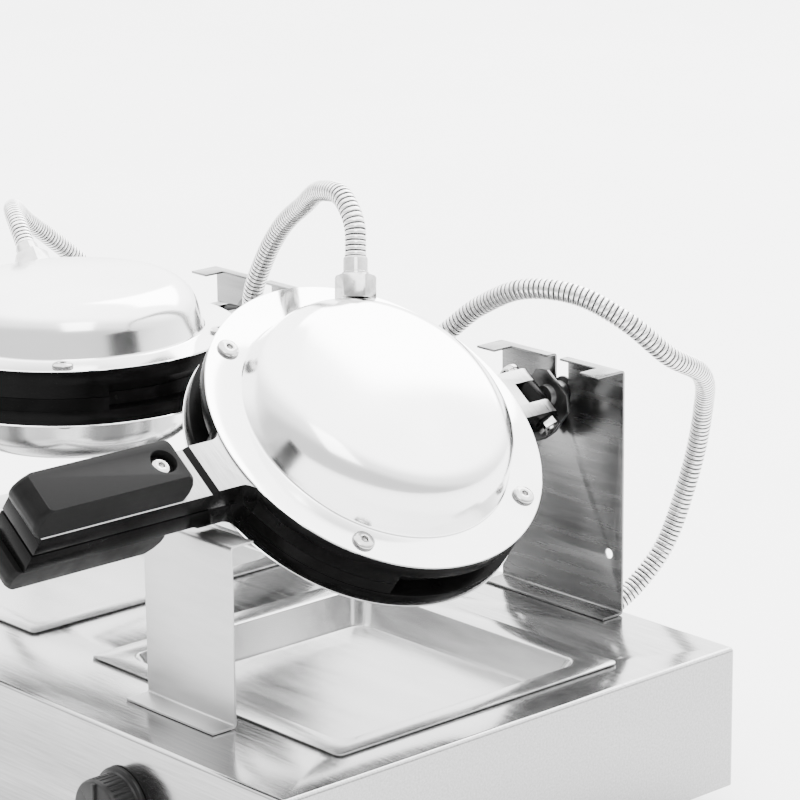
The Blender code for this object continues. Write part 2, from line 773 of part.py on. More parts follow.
def swept(rings, sides, place=Matrix(), bore=None):
    """A tube through rings of centre and radius, with its bore as a second list of rings."""

    def wall(bm, stations):
        made = []
        up = Vector((0, 0, 1))
        for k, (spot, radius) in enumerate(stations):
            before = stations[max(k - 1, 0)][0]
            after = stations[min(k + 1, len(stations) - 1)][0]
            ahead = (after - before).normalized()
            if k == 0:
                up = ahead.orthogonal().normalized()
            up = (up - ahead * up.dot(ahead)).normalized()
            right = ahead.cross(up)
            turns = [2 * math.pi * n / sides for n in range(sides)]
            corners = [spot + (up * math.cos(t) + right * math.sin(t)) * radius for t in turns]
            made.append([bm.verts.new(place @ corner) for corner in corners])
        for near, far in zip(made, made[1:]):
            bridge(bm, near, far)
        return made[0], made[-1]

    def add(bm):
        first, last = wall(bm, rings)
        if bore:
            inner_first, inner_last = wall(bm, bore)
            bridge(bm, first, inner_first)
            bridge(bm, last, inner_last)
        else:
            bm.faces.new(first)
            bm.faces.new(last)

    return add


# Hoses


def smooth_path(spots, start_way, end_way):
    """A smooth curve through the spots that leaves and arrives along the given ways."""
    gaps = [(after - spot).length for spot, after in zip(spots, spots[1:])]
    slopes = [(after - spot) / gap for spot, after, gap in zip(spots, spots[1:], gaps)]
    tangents = [start_way]
    for k in range(1, len(spots) - 1):
        before, after = gaps[k - 1], gaps[k]
        tangents.append((slopes[k - 1] * after + slopes[k] * before) / (before + after))
    tangents.append(end_way)
    fine = []
    for k, gap in enumerate(gaps):
        for n in range(PATH_STEPS):
            t = n / PATH_STEPS
            rise, fall = t * t * (3 - 2 * t), t * (1 - t)
            ease = spots[k] * (1 - rise) + spots[k + 1] * rise
            bend = (tangents[k] * (1 - t) - tangents[k + 1] * t) * fall * gap
            fine.append(ease + bend)
    fine.append(spots[-1])
    return fine


def even_points(path, spacing):
    """Points along a path at equal spacing near the one asked for."""
    lengths = [0.0]
    for near, far in zip(path, path[1:]):
        lengths.append(lengths[-1] + (far - near).length)
    count = max(2, round(lengths[-1] / spacing))
    spots = []
    k = 0
    for n in range(count + 1):
        target = lengths[-1] * n / count
        while k < len(path) - 2 and lengths[k + 1] < target:
            k += 1
        share = (target - lengths[k]) / (lengths[k + 1] - lengths[k])
        spots.append(path[k].lerp(path[k + 1], share))
    return spots


def conduit(name, start, start_way, route, end, end_way):
    """A ribbed hose from one gland's mouth to another's, hollow all the way."""
    run = 2 * CONDUIT_RADIUS
    first = start + start_way * run
    last = end + end_way * run
    path = smooth_path([first, *route, last], start_way, -end_way)
    path = [start, *path, end]
    crests = even_points(path, CONDUIT_RIB_PITCH / 2)
    groove = CONDUIT_RADIUS - CONDUIT_GROOVE
    rings = [(spot, CONDUIT_RADIUS if k % 2 == 0 else groove) for k, spot in enumerate(crests)]
    bore = [(spot, CONDUIT_BORE_RADIUS) for spot in even_points(path, CONDUIT_BORE_STEP)]
    length = sum((far - near).length for near, far in zip(path, path[1:]))
    print(name, "length", round(length, 4))
    return solid(name, "brushed", [swept(rings, TUBE_SIDES, Matrix(), bore)])


# Pieces of one head


def grip(name, side, parent, place):
    """A moulded grip on the outer face of an arm, narrower towards its top."""
    made = solid(name, "plastic", [stack(grip_levels(), side)], parent, place)
    edge = made.modifiers.new("edges", "BEVEL")
    edge.width = GRIP_CHAMFER
    edge.segments = 1
    edge.limit_method = "ANGLE"
    edge.angle_limit = math.radians(60)
    seat = GRIP_TOP - GRIP_SCREW_SINK - SCREW_HEAD_HEIGHT
    wide = SCREW_HEAD_RADIUS + GRIP_SINK_CLEARANCE
    shank = SCREW_SHANK_RADIUS + FIT_GAP
    top, bottom = GRIP_TOP + CUT_OVERRUN, GRIP_BOTTOM - CUT_OVERRUN
    profile = ((0, top), (wide, top), (wide, seat), (shank, seat), (shank, bottom), (0, bottom))
    cut(made, [turned(profile, ROUND_SIDES, side @ grip_screw_spot(0))])
    return made


def grip_levels():
    """Outlines of the grip from its seat to its top, each with its height."""
    levels = []
    for height, setback in GRIP_NOSE_SHARES:
        narrowing = (GRIP_FOOT_HALF_WIDTH - GRIP_TOP_HALF_WIDTH) * height
        wide = GRIP_FOOT_HALF_WIDTH - narrowing
        near = -(GRIP_START + setback * GRIP_NOSE)
        far = -(GRIP_END - setback * GRIP_NOSE)
        outline = ((-wide, far), (wide, far), (wide, near), (-wide, near))
        levels.append((outline, GRIP_BOTTOM + height * GRIP_HEIGHT))
    return levels


def cover_screws(prefix, parent, place):
    """The four screws of an upper cover, each its own piece."""
    reach = COVER_SHEET + COVER_SCREW_DEPTH - FIT_GAP
    for number, spot in enumerate(cover_screw_spots(COVER_TOP)):
        solid(f"{prefix}_cover_screw_{number + 1}", "steel", [screw(reach, spot)], parent, place)


def grip_screw(name, side, parent, place):
    """The screw that holds a grip to its arm, sunk in the grip."""
    seat = GRIP_TOP - GRIP_SCREW_SINK - SCREW_HEAD_HEIGHT
    reach = seat - SEAT_Z + SEAT_SCREW_DEPTH - FIT_GAP
    return solid(name, "steel", [screw(reach, side @ grip_screw_spot(seat))], parent, place)


def hinge_bolt(name, parent):
    """The hinge pin with its button head, spacer and nut, tightened into one piece."""
    place = Matrix.Translation((0, HINGE_Y, 0)) @ TO_X
    ear = EAR_OUTER + FIT_GAP
    head = -(ear + HINGE_SPACER)
    top = head - HINGE_HEAD_HEIGHT
    stub = ear + HINGE_NUT_HEIGHT + HINGE_PIN_STUB
    bolt = (
        (0, top),
        (HINGE_HEAD_RADIUS / 2, top),
        (HINGE_HEAD_RADIUS, head - HINGE_HEAD_HEIGHT / 3),
        (HINGE_HEAD_RADIUS, head),
        (HINGE_SPACER_RADIUS, head),
        (HINGE_SPACER_RADIUS, -ear),
        (HINGE_PIN_RADIUS, -ear),
        (HINGE_PIN_RADIUS, stub),
        (0, stub),
    )
    made = solid(name, "steel", [turned(bolt, ROUND_SIDES, place)], parent)
    fuse(made, [rod(HINGE_NUT_RADIUS, ear, ear + HINGE_NUT_HEIGHT, 6, place)])
    return made


def swivel_bracket(name, parent):
    """A bent plate screwed under the lower casting, with the shaft welded through its upright."""
    sheet = SWIVEL_PLATE
    foot_top = -(COVER_TOP + LUG_DROP + FIT_GAP)
    foot_low = foot_top - sheet
    wide = SWIVEL_HALF_WIDTH
    narrow = LUG_HALF_WIDTH
    shoulder = SWIVEL_TOP - SWIVEL_TOP_CHAMFER
    upright = (
        (-narrow, foot_low),
        (narrow, foot_low),
        (wide, -SWIVEL_SIDE_DROP),
        (wide, shoulder),
        (wide - SWIVEL_TOP_CHAMFER, SWIVEL_TOP),
        (SWIVEL_TOP_CHAMFER - wide, SWIVEL_TOP),
        (-wide, shoulder),
        (-wide, -SWIVEL_SIDE_DROP),
    )
    plate_back = SWIVEL_PLATE_Y + sheet
    made = solid(name, "steel", [along(upright, SWIVEL_PLATE_Y, plate_back)], parent)
    foot_end = (narrow, SWIVEL_PLATE_Y + sheet / 2, foot_top)
    fuse(made, [block((-narrow, SWIVEL_FOOT_START, foot_low), foot_end)])
    # The shaft's collar and keeper hold the rear bracket's sheet between them
    keeper = BRACKET_FRONT + BRACKET_SHEET + FIT_GAP
    shaft = (
        (0, SWIVEL_PLATE_Y - SHAFT_HEAD_HEIGHT),
        (SHAFT_HEAD_RADIUS, SWIVEL_PLATE_Y - SHAFT_HEAD_HEIGHT),
        (SHAFT_HEAD_RADIUS, SWIVEL_PLATE_Y + sheet / 2),
        (SHAFT_COLLAR_RADIUS, SWIVEL_PLATE_Y + sheet / 2),
        (SHAFT_COLLAR_RADIUS, BRACKET_FRONT - FIT_GAP),
        (SHAFT_RADIUS, BRACKET_FRONT - FIT_GAP),
        (SHAFT_RADIUS, keeper),
        (SHAFT_KEEPER_RADIUS, keeper),
        (SHAFT_KEEPER_RADIUS, keeper + SHAFT_KEEPER),
        (SHAFT_RADIUS, keeper + SHAFT_KEEPER),
        (SHAFT_RADIUS, keeper + SHAFT_TAIL),
        (0, keeper + SHAFT_TAIL),
    )
    fuse(made, [turned(shaft, ROUND_SIDES, TO_Y)])
    reach = sheet + SEAT_SCREW_DEPTH - FIT_GAP
    fuse(made, [screw(reach, FLIP @ spot, -sheet / 2) for spot in swivel_screw_spots(-foot_low)])
    return made


# Pieces that carry one head


def rear_bracket(name, x):
    """An upright sheet with a foot, bent forward along its top, with an open slot for the shaft."""
    low = DECK_Z + FIT_GAP
    top = AXIS_Z + BRACKET_ABOVE_AXIS
    wide = BRACKET_HALF_WIDTH
    sheet = BRACKET_SHEET
    back = BRACKET_FRONT + sheet
    front = BRACKET_FRONT - BRACKET_TAB_REACH
    profile = (
        (BRACKET_FRONT - SHEET_FOOT, low),
        (back - sheet / 2, low),
        (back, low + sheet / 2),
        (back, top - sheet / 2),
        (back - sheet / 2, top),
        (front, top),
        (front, top - sheet),
        (BRACKET_FRONT, top - sheet),
        (BRACKET_FRONT, low + sheet),
        (BRACKET_FRONT - SHEET_FOOT, low + sheet),
    )
    made = solid(name, "polished", [across(profile, x - wide, x + wide)])
    notch = wide - BRACKET_TAB_WIDTH
    notch_low = (x - notch, front - CUT_OVERRUN, top - sheet - CUT_OVERRUN)
    notch_high = (x + notch, BRACKET_FRONT - BRACKET_FLANGE, top + CUT_OVERRUN)
    cut(made, [block(notch_low, notch_high)])
    slot = SHAFT_RADIUS + FIT_GAP
    round_end = arc(slot, (x, AXIS_Z), math.pi, 2 * math.pi, ARC_STEPS)
    opening = [(x - slot, top + CUT_OVERRUN)] + round_end + [(x + slot, top + CUT_OVERRUN)]
    holes = [along(opening, front, back + CUT_OVERRUN)]
    for s in (-1, 1):
        centre = (x + s * BRACKET_HOLE_X, AXIS_Z - BRACKET_HOLE_DROP)
        ring = circle(BRACKET_HOLE_RADIUS, ROUND_SIDES, centre)
        holes.append(along(ring, BRACKET_FRONT - CUT_OVERRUN, back + CUT_OVERRUN))
    cut(made, holes)
    return made


def handle_rest(name, x):
    """A sheet upright whose top is bent back under the handle."""
    low = DECK_Z + FIT_GAP
    sheet = REST_SHEET
    flange_end = REST_FACE - REST_FLANGE
    profile = (
        (-REST_FACE - SHEET_FOOT, low),
        (-REST_FACE + sheet, low),
        (-REST_FACE + sheet, REST_TOP - sheet),
        (-flange_end, REST_TOP - sheet),
        (-flange_end, REST_TOP),
        (-REST_FACE + sheet, REST_TOP),
        (-REST_FACE, REST_TOP - sheet),
        (-REST_FACE, low + sheet),
        (-REST_FACE - SHEET_FOOT, low + sheet),
    )
    return solid(name, "polished", [across(profile, x - REST_HALF_WIDTH, x + REST_HALF_WIDTH)])


def drip_tray(name, x):
    """A shallow pan with a flat rim that lies on the deck."""
    rim_low = DECK_Z + FIT_GAP
    rim_high = rim_low + TRAY_SHEET
    floor = rim_high - TRAY_DEPTH

    def rectangle(inset, z):
        wide = TRAY_HALF_WIDTH - inset
        return [
            Vector((x - wide, -TRAY_FRONT + inset, z)),
            Vector((x + wide, -TRAY_FRONT + inset, z)),
            Vector((x + wide, TRAY_REAR - inset, z)),
            Vector((x - wide, TRAY_REAR - inset, z)),
        ]

    def add(bm):
        wall = TRAY_SHEET
        loops = (
            rectangle(0, rim_low),
            rectangle(0, rim_high),
            rectangle(TRAY_RIM + wall, rim_high),
            rectangle(TRAY_RIM + wall + TRAY_SLOPE, floor + wall),
            rectangle(TRAY_RIM + TRAY_SLOPE, floor),
            rectangle(TRAY_RIM, rim_low),
        )
        rings = [[bm.verts.new(corner) for corner in loop] for loop in loops]
        for near, far in ((0, 1), (1, 2), (2, 3), (4, 5), (5, 0)):
            bridge(bm, rings[near], rings[far])
        bm.faces.new(rings[3])
        bm.faces.new(rings[4])

    return solid(name, "polished", [add])


# Base


def base_housing(name):
    """A folded sheet box, open below, with every cut-out of its deck and walls."""
    half = HOUSING_WIDTH / 2
    sheet = HOUSING_SHEET
    low, high = FOOT_HEIGHT, DECK_Z
    outer = block((-half, -HOUSING_FRONT, low), (half, HOUSING_REAR, high))
    made = solid(name, "brushed", [outer])
    inner_low = (-half + sheet, -HOUSING_FRONT + sheet, low - CUT_OVERRUN)
    cut(made, [block(inner_low, (half - sheet, HOUSING_REAR - sheet, high - sheet))])
    wide = TRAY_HALF_WIDTH - TRAY_RIM + FIT_GAP
    front, rear = -TRAY_FRONT + TRAY_RIM - FIT_GAP, TRAY_REAR - TRAY_RIM + FIT_GAP
    holes = []
    for x in HEAD_PLACES:
        low_corner = (x - wide, front, high - sheet - CUT_OVERRUN)
        holes.append(block(low_corner, (x + wide, rear, high + CUT_OVERRUN)))
    holes += front_holes() + rear_holes()
    cut(made, holes)
    return made


def front_holes():
    """Cut-outs of the controls in the front wall."""
    near, far = -HOUSING_FRONT - CUT_OVERRUN, -HOUSING_FRONT + HOUSING_SHEET + CUT_OVERRUN
    holes = []
    for x in HEAD_PLACES:
        ring = circle(KNOB_SHAFT_RADIUS + FIT_GAP, SCREW_SIDES, (x, CONTROL_Z))
        holes.append(along(ring, near, far))
    wide = SWITCH_HALF_WIDTH + SWITCH_WALL + FIT_GAP
    tall = SWITCH_HALF_HEIGHT + SWITCH_WALL + FIT_GAP
    holes.append(block((-wide, near, CONTROL_Z - tall), (wide, far, CONTROL_Z + tall)))
    return holes


def rear_holes():
    """Round holes through the rear wall behind the glands."""
    near, far = HOUSING_REAR - HOUSING_SHEET - CUT_OVERRUN, HOUSING_REAR + CUT_OVERRUN
    places = [(x, GLAND_BORE) for x in rear_gland_places()]
    places.append((CORD_GLAND_X, CORD_GLAND_BORE))
    return [along(circle(r, SCREW_SIDES, (x, REAR_GLAND_Z)), near, far) for x, r in places]


def rear_gland_places():
    """Where the hoses enter the rear wall."""
    return [x + gland for x in HEAD_PLACES for gland in (REAR_GLAND_LOWER_X, REAR_GLAND_UPPER_X)]


def base_plate(name):
    """The flat sheet that closes the housing from below."""
    half = HOUSING_WIDTH / 2 - HOUSING_SHEET - FIT_GAP
    front = HOUSING_FRONT - HOUSING_SHEET - FIT_GAP
    rear = HOUSING_REAR - HOUSING_SHEET - FIT_GAP
    low = FOOT_HEIGHT
    return solid(name, "brushed", [block((-half, -front, low), (half, rear, low + BASE_PLATE_SHEET))])


def rubber_feet():
    """Four round feet under the corners, each its own piece."""
    profile = (
        (0, 0),
        (FOOT_RADIUS - FOOT_TAPER, 0),
        (FOOT_RADIUS, FOOT_HEIGHT - FIT_GAP),
        (0, FOOT_HEIGHT - FIT_GAP),
    )
    across_x = HOUSING_WIDTH / 2 - FOOT_INSET
    rows = (("front", -HOUSING_FRONT + FOOT_INSET), ("rear", HOUSING_REAR - FOOT_INSET))
    for row, y in rows:
        for end, x in (("left", -across_x), ("right", across_x)):
            solid(f"{row}_{end}_foot", "rubber", [turned(profile, ROUND_SIDES)], None, (x, y, 0))


def rear_gland_place(x):
    """Placement of a gland on the rear wall, its z axis straight back."""
    return turn_to((0, 1, 0), (x, HOUSING_REAR + FIT_GAP, REAR_GLAND_Z))


def gland_panel(name):
    """A plate on the rear wall with the sockets of the four hoses."""
    places = rear_gland_places()
    low = (min(places) - PANEL_MARGIN, HOUSING_REAR + FIT_GAP, REAR_GLAND_Z - PANEL_HALF_HEIGHT)
    top = REAR_GLAND_Z + PANEL_HALF_HEIGHT
    high = (max(places) + PANEL_MARGIN, HOUSING_REAR + FIT_GAP + PANEL_SHEET, top)
    made = solid(name, "steel", [block(low, high)])
    frames = [rear_gland_place(x) @ Matrix.Translation((0, 0, PANEL_SHEET / 2)) for x in places]
    for frame in frames:
        fuse(made, gland_shapes(frame))
    cut(made, [gland_bore(frame) for frame in frames])
    return made


def cord_gland(name):
    """The gland of the mains lead, with its hole."""
    place = rear_gland_place(CORD_GLAND_X)
    half = CORD_GLAND_OUT / 2
    chamfer = GLAND_NUT_CHAMFER * 2
    crown = CORD_GLAND_RADIUS - chamfer
    nut = (
        (CORD_GLAND_BORE, 0),
        (CORD_GLAND_RADIUS, 0),
        (CORD_GLAND_RADIUS, half),
        (crown, half + chamfer / 2),
        (crown, CORD_GLAND_OUT - chamfer),
        (crown - chamfer, CORD_GLAND_OUT),
        (CORD_GLAND_BORE, CORD_GLAND_OUT),
    )
    return solid(name, "plastic", [turned(nut, ROUND_SIDES, place)])


# Controls


def knob(name, x):
    """A round knob with a skirt and a raised pointer, on its spindle's axis."""
    front = -KNOB_SKIRT - KNOB_LENGTH
    body = (
        (0, front),
        (KNOB_RADIUS - KNOB_POINTER, front),
        (KNOB_RADIUS, front + KNOB_POINTER),
        (KNOB_RADIUS, -KNOB_SKIRT),
        (KNOB_SKIRT_RADIUS, -KNOB_SKIRT / 2),
        (KNOB_SKIRT_RADIUS, 0),
        (0, 0),
    )
    place = (x, -HOUSING_FRONT - FIT_GAP, CONTROL_Z)
    made = solid(name, "plastic", [turned(body, ROUND_SIDES, TO_Y)], None, place)
    half = KNOB_POINTER_HALF_WIDTH
    bar = block((-half, front - KNOB_POINTER, 0), (half, front + KNOB_POINTER, KNOB_RADIUS - KNOB_POINTER))
    fuse(made, [bar])
    socket = circle(KNOB_SHAFT_RADIUS + FIT_GAP, SCREW_SIDES)
    cut(made, [along(socket, -KNOB_SOCKET_DEPTH, CUT_OVERRUN)])
    return made


def thermostat(name, x):
    """A thermostat behind the front wall, with its spindle."""
    wall = -HOUSING_FRONT + HOUSING_SHEET + FIT_GAP
    wide, deep, tall = THERMOSTAT_SIZE[0] / 2, THERMOSTAT_SIZE[1], THERMOSTAT_SIZE[2] / 2
    low = (x - wide, wall, CONTROL_Z - tall)
    made = solid(name, "ceramic", [block(low, (x + wide, wall + deep, CONTROL_Z + tall))])
    ring = circle(KNOB_SHAFT_RADIUS, SCREW_SIDES, (x, CONTROL_Z))
    fuse(made, [along(ring, -HOUSING_FRONT - KNOB_SHAFT_OUT, wall + deep / 2)])
    return made


def switch_housing(name):
    """The frame in which the rocker sits."""
    wide = SWITCH_HALF_WIDTH + SWITCH_WALL
    tall = SWITCH_HALF_HEIGHT + SWITCH_WALL
    front = -HOUSING_FRONT - FIT_GAP
    lip = SWITCH_LIP
    body_low = (-wide, front - SWITCH_LIP_OUT / 2, CONTROL_Z - tall)
    made = solid(name, "plastic", [block(body_low, (wide, front + SWITCH_DEPTH, CONTROL_Z + tall))])
    lip_low = (-wide - lip, front - SWITCH_LIP_OUT, CONTROL_Z - tall - lip)
    fuse(made, [block(lip_low, (wide + lip, front, CONTROL_Z + tall + lip))])
    bottom = CONTROL_Z - SWITCH_HALF_HEIGHT
    cavity_low = (-SWITCH_HALF_WIDTH, front - SWITCH_LIP_OUT - CUT_OVERRUN, bottom)
    cavity_end = front + SWITCH_DEPTH - SWITCH_WALL
    cut(made, [block(cavity_low, (SWITCH_HALF_WIDTH, cavity_end, CONTROL_Z + SWITCH_HALF_HEIGHT))])
    return made


def rocker(name):
    """A rocker on its own axis, its front a shallow valley between two raised ends."""
    reach = SWITCH_HALF_HEIGHT - FIT_GAP
    end = math.sqrt(reach**2 - ROCKER_PEAK**2)
    profile = [(-ROCKER_PEAK, -end), (-ROCKER_VALLEY, 0), (-ROCKER_PEAK, end)]
    profile += [(ROCKER_PEAK / 2, end), (ROCKER_PEAK, 0), (ROCKER_PEAK / 2, -end)]
    half = SWITCH_HALF_WIDTH - FIT_GAP
    made = solid(name, "plastic", [across(profile, -half, half)])
    made.location = (0, -HOUSING_FRONT + ROCKER_PIVOT, CONTROL_Z)
    made.rotation_euler = (ROCKER_REST_TILT, 0, 0)
    return made


# Assembly

HEAD_PLACES = (-HEAD_SPACING / 2, HEAD_SPACING / 2)


def build_half(prefix, parent, place, upper):
    """A cover with its casting, element, grip, screws and gland, above or below."""
    side = Matrix() if upper else FLIP
    label = f"{prefix}_{'upper' if upper else 'lower'}"
    casting(f"{label}_casting", side, 1 if upper else -1, parent, place)
    cover(f"{label}_cover", side, parent, place)
    element(f"{label}_heating_element", side, parent, place)
    grip(f"{label}_grip", side, parent, place)
    grip_screw(f"{label}_grip_screw", side, parent, place)
    cover_gland(f"{label}_gland", side, parent, place)


def empty(name, parent, place, turn=0.0):
    """An empty on a joint's axis, turned about y."""
    made = bpy.data.objects.new(name, None)
    bpy.context.collection.objects.link(made)
    made.parent = parent
    made.location = place
    made.rotation_euler = (0, turn, 0)
    return made


def hose_ends(side, x, tilt, gland_x):
    """Mouths of a hose's two glands and the ways that they point."""
    head = Matrix.Translation((x, 0, AXIS_Z)) @ Matrix.Rotation(tilt, 4, "Y")
    mouth = head @ gland_frame(side) @ Matrix.Translation((0, 0, GLAND_REACH + FIT_GAP))
    reach = GLAND_REACH + PANEL_SHEET / 2 + FIT_GAP
    base = rear_gland_place(x + gland_x) @ Matrix.Translation((0, 0, reach))
    return (
        mouth.translation,
        mouth.to_3x3().col[2].normalized(),
        base.translation,
        base.to_3x3().col[2].normalized(),
    )


def build_hoses(prefix, x, tilt, upper_route, lower_route):
    """The two conduits of one head."""
    centre = Vector((x, 0, AXIS_Z))
    plans = (
        ("upper", Matrix(), REAR_GLAND_UPPER_X, upper_route),
        ("lower", FLIP, REAR_GLAND_LOWER_X, lower_route),
    )
    for level, side, gland_x, route in plans:
        start, start_way, end, end_way = hose_ends(side, x, tilt, gland_x)
        points = [centre + Vector(point) for point in route]
        conduit(f"{prefix}_{level}_conduit", start, start_way, points, end, end_way)


def build_head(prefix, x, tilt):
    """One whole head on its swivel axis."""
    swivel = empty(f"{prefix}_swivel_axis", None, (x, 0, AXIS_Z), tilt)
    lid = empty(f"{prefix}_lid_axis", swivel, (0, HINGE_Y, 0))
    build_half(prefix, lid, (0, -HINGE_Y, 0), True)
    build_half(prefix, swivel, (0, 0, 0), False)
    cover_screws(prefix, lid, (0, -HINGE_Y, 0))
    hinge_bolt(f"{prefix}_hinge_bolt", swivel)
    swivel_bracket(f"{prefix}_swivel_bracket", swivel)


def build_station(prefix, x):
    """What carries and controls one head."""
    rear_bracket(f"{prefix}_rear_bracket", x)
    handle_rest(f"{prefix}_handle_rest", x)
    drip_tray(f"{prefix}_drip_tray", x)
    thermostat(f"{prefix}_thermostat", x)
    knob(f"{prefix}_thermostat_knob", x)


def build_base():
    """The housing and what both heads share."""
    base_housing("base_housing")
    base_plate("base_plate")
    rubber_feet()
    gland_panel("gland_panel")
    cord_gland("cord_gland")
    switch_housing("switch_housing")
    rocker("switch_rocker")


def centre_on_footprint():
    """Moves the machine so that its origin is under the middle of its box, less the hoses."""
    for made in bpy.data.objects:
        if made.parent is None:
            made.location.y += ROW_SHIFT


build_base()
build_station("left", HEAD_PLACES[0])
build_station("right", HEAD_PLACES[1])
build_head("left", HEAD_PLACES[0], LEFT_TILT)
build_head("right", HEAD_PLACES[1], RIGHT_TILT)
build_hoses("left", HEAD_PLACES[0], LEFT_TILT, LEFT_UPPER_ROUTE, LEFT_LOWER_ROUTE)
build_hoses("right", HEAD_PLACES[1], RIGHT_TILT, RIGHT_UPPER_ROUTE, RIGHT_LOWER_ROUTE)
centre_on_footprint()
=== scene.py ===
"""Looks of the bubble waffle maker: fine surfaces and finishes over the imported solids.

Metres, +Z up, the row's frame. A head's own frame has its origin on the swivel axis at the
middle of the mould, with x across, y towards the hinge and z out of the upper half.
"""

import math

import bmesh
import bpy
from mathutils import Matrix, Vector


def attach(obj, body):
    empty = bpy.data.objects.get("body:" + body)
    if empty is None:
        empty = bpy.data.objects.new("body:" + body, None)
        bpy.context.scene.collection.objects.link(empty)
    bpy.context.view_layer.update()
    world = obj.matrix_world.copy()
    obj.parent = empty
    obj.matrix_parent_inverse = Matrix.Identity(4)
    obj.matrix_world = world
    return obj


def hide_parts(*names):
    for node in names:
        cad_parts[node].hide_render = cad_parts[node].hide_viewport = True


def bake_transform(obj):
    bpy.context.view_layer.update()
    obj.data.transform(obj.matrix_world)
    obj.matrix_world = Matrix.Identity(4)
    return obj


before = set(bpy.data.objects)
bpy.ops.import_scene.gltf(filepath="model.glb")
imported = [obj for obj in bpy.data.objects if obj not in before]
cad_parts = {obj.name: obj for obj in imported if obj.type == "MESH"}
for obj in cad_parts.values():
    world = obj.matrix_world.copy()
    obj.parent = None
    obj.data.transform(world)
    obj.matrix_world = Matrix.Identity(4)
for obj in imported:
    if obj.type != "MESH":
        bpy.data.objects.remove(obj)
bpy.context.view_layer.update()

# Sizes shared with the solids: the row and the base
FIT_GAP = 0.0003
ROW_SHIFT = 0.030325
HEAD_X = 0.14525
HEADS = {"left": (-HEAD_X, 0.0), "right": (HEAD_X, math.radians(37.6))}
DECK_Z, AXIS_Z, FOOT_HEIGHT = 0.108, 0.244, 0.018
FOOT_X, FOOT_FRONT, FOOT_REAR = 0.255, 0.155, 0.140
CONTROL_Z, REAR_GLAND_Z, LEAD_GLAND_X = 0.063, 0.079, 0.235
GLAND_X = {"upper": -0.100, "lower": -0.017}
HOUSING_HALF, HOUSING_FRONT, HOUSING_REAR, HOUSING_SHEET = 0.290, 0.190, 0.175, 0.0015
PANEL_SHEET, PANEL_EDGE = 0.0015, 0.020
STAND_SHEET, BRACKET_FRONT = 0.0015, 0.1672
TRAY_HALF, TRAY_FRONT, TRAY_REAR, TRAY_RIM = 0.116, 0.124, 0.101, 0.016
TRAY_SHEET, TRAY_DEPTH, TRAY_HOLE_CORNER = 0.001, 0.022, 0.010

# The castings with their bubbles, arms and hinges
PARTING, MOULD_RADIUS, MOULD_RECESS = 0.00015, 0.091, 0.0021
CAVITY_RADIUS, CAVITY_PITCH, CAVITY_DEPTH = 0.0118, 0.027, 0.0105
CAVITY_ROWS = (3, 4, 5, 6, 5, 4, 3)
FLANGE_RADIUS, CASTING_TOP = 0.110, 0.01725
CASTING_RIM = FLANGE_RADIUS - 0.0005
WAIST_RADIUS, WAIST_HEIGHT, LOBE_RADIUS = 0.0975, 0.0085, 0.109
LOBE_START, LOBE_END = math.radians(-98), math.radians(-25)
BOSS_END, BOSS_HALF, BOSS_FILLET = 0.132, 0.0173, 0.009
ARM_START, ARM_END, SEAT_Z, STEP_RUN = 0.085, 0.257, 0.01495, 0.0040
SLOT_HALF_GAP = 0.00085
HINGE_Y, EAR_RADIUS, EAR_INNER, EAR_OUTER, PIN_RADIUS = 0.139, 0.010, 0.008, 0.018, 0.004
HINGE_ROOT, WEB_END = WAIST_RADIUS - 0.002, 0.1265
LUG_HALF, LUG_END, LUG_DROP = 0.0155, 0.127, 0.0046

# The covers and their screws. The foot's points step out from the dome and up from the flange
COVER_TOP, COVER_SHEET = 0.01855, 0.001
DOME_RADIUS, DOME_HEIGHT, DOME_SHOULDER = 0.087, 0.038, 0.026
DOME_FOOT = ((0.0018, 0.0), (0.0010, 0.0002), (0.0003, 0.0008), (-0.0001, 0.0018))
SCREW_ANGLES = tuple(math.radians(a) for a in (40.4, 139.6, 220.4, 319.6))
SCREW_CIRCLE, SCREW_HEAD, SCREW_HEIGHT, SCREW_RIM = 0.0992, 0.0068, 0.0028, 0.0009

# The grips. A share of the nose is cut off both ends at each share of the height
GRIP_START, GRIP_END, GRIP_BOTTOM, GRIP_HEIGHT = 0.152, 0.263, 0.01525, 0.0200
GRIP_FOOT, GRIP_TOP_HALF, GRIP_NOSE, GRIP_CORNER = 0.0166, 0.0140, 0.009, 0.0035
GRIP_NOSE_SHARES = ((0.0, 0.30), (0.22, 0.04), (0.50, 0.0), (0.78, 0.22), (1.0, 0.70))
GRIP_SCREW_Y, GRIP_SCREW_DEPTH = -0.1695, 0.0035
GRIP_SCREW_Z = GRIP_BOTTOM + GRIP_HEIGHT - GRIP_SCREW_DEPTH - SCREW_HEIGHT

# The hose nuts and the hoses. A rib's rings: share of the pitch, share of the groove's depth
GLAND_ANGLE, GLAND_SEAT_LIFT, GLAND_LIFT = math.radians(160), math.radians(24), math.radians(32)
GLAND_OFF_DOME = 0.0006
NUT_RADIUS, NUT_LENGTH, FERRULE_RADIUS, FERRULE_LENGTH = 0.0127, 0.0148, 0.0076, 0.0112
GLAND_REACH = NUT_LENGTH + FERRULE_LENGTH + FIT_GAP
HOSE_RADIUS, HOSE_RIB_PITCH, HOSE_GROOVE = 0.0067, 0.0033, 0.0012
RIB = ((0.0, 1.0), (0.17, 0.15), (0.32, 0.0), (0.68, 0.0), (0.83, 0.15))
NEAR_HOSE_SHARE = 0.34

# Sides of round shapes, from the largest to the smallest, and how far a cutter runs past
FINE, SMOOTH, ROUND, SMALL, HEX = 160, 48, 40, 24, 6
OVERRUN = 0.002

# The camera, fitted to the photograph
CAMERA_TURN, CAMERA_RISE, CAMERA_ROLL = math.radians(48.01), math.radians(15.43), math.radians(-0.59)
CAMERA_DISTANCE, CAMERA_RIGHT, CAMERA_UP = 2.0606, 0.0216, 0.0259
SENSOR_WIDTH, LENS, NEAREST, FARTHEST = 36.0, 153.98, 0.05, 50

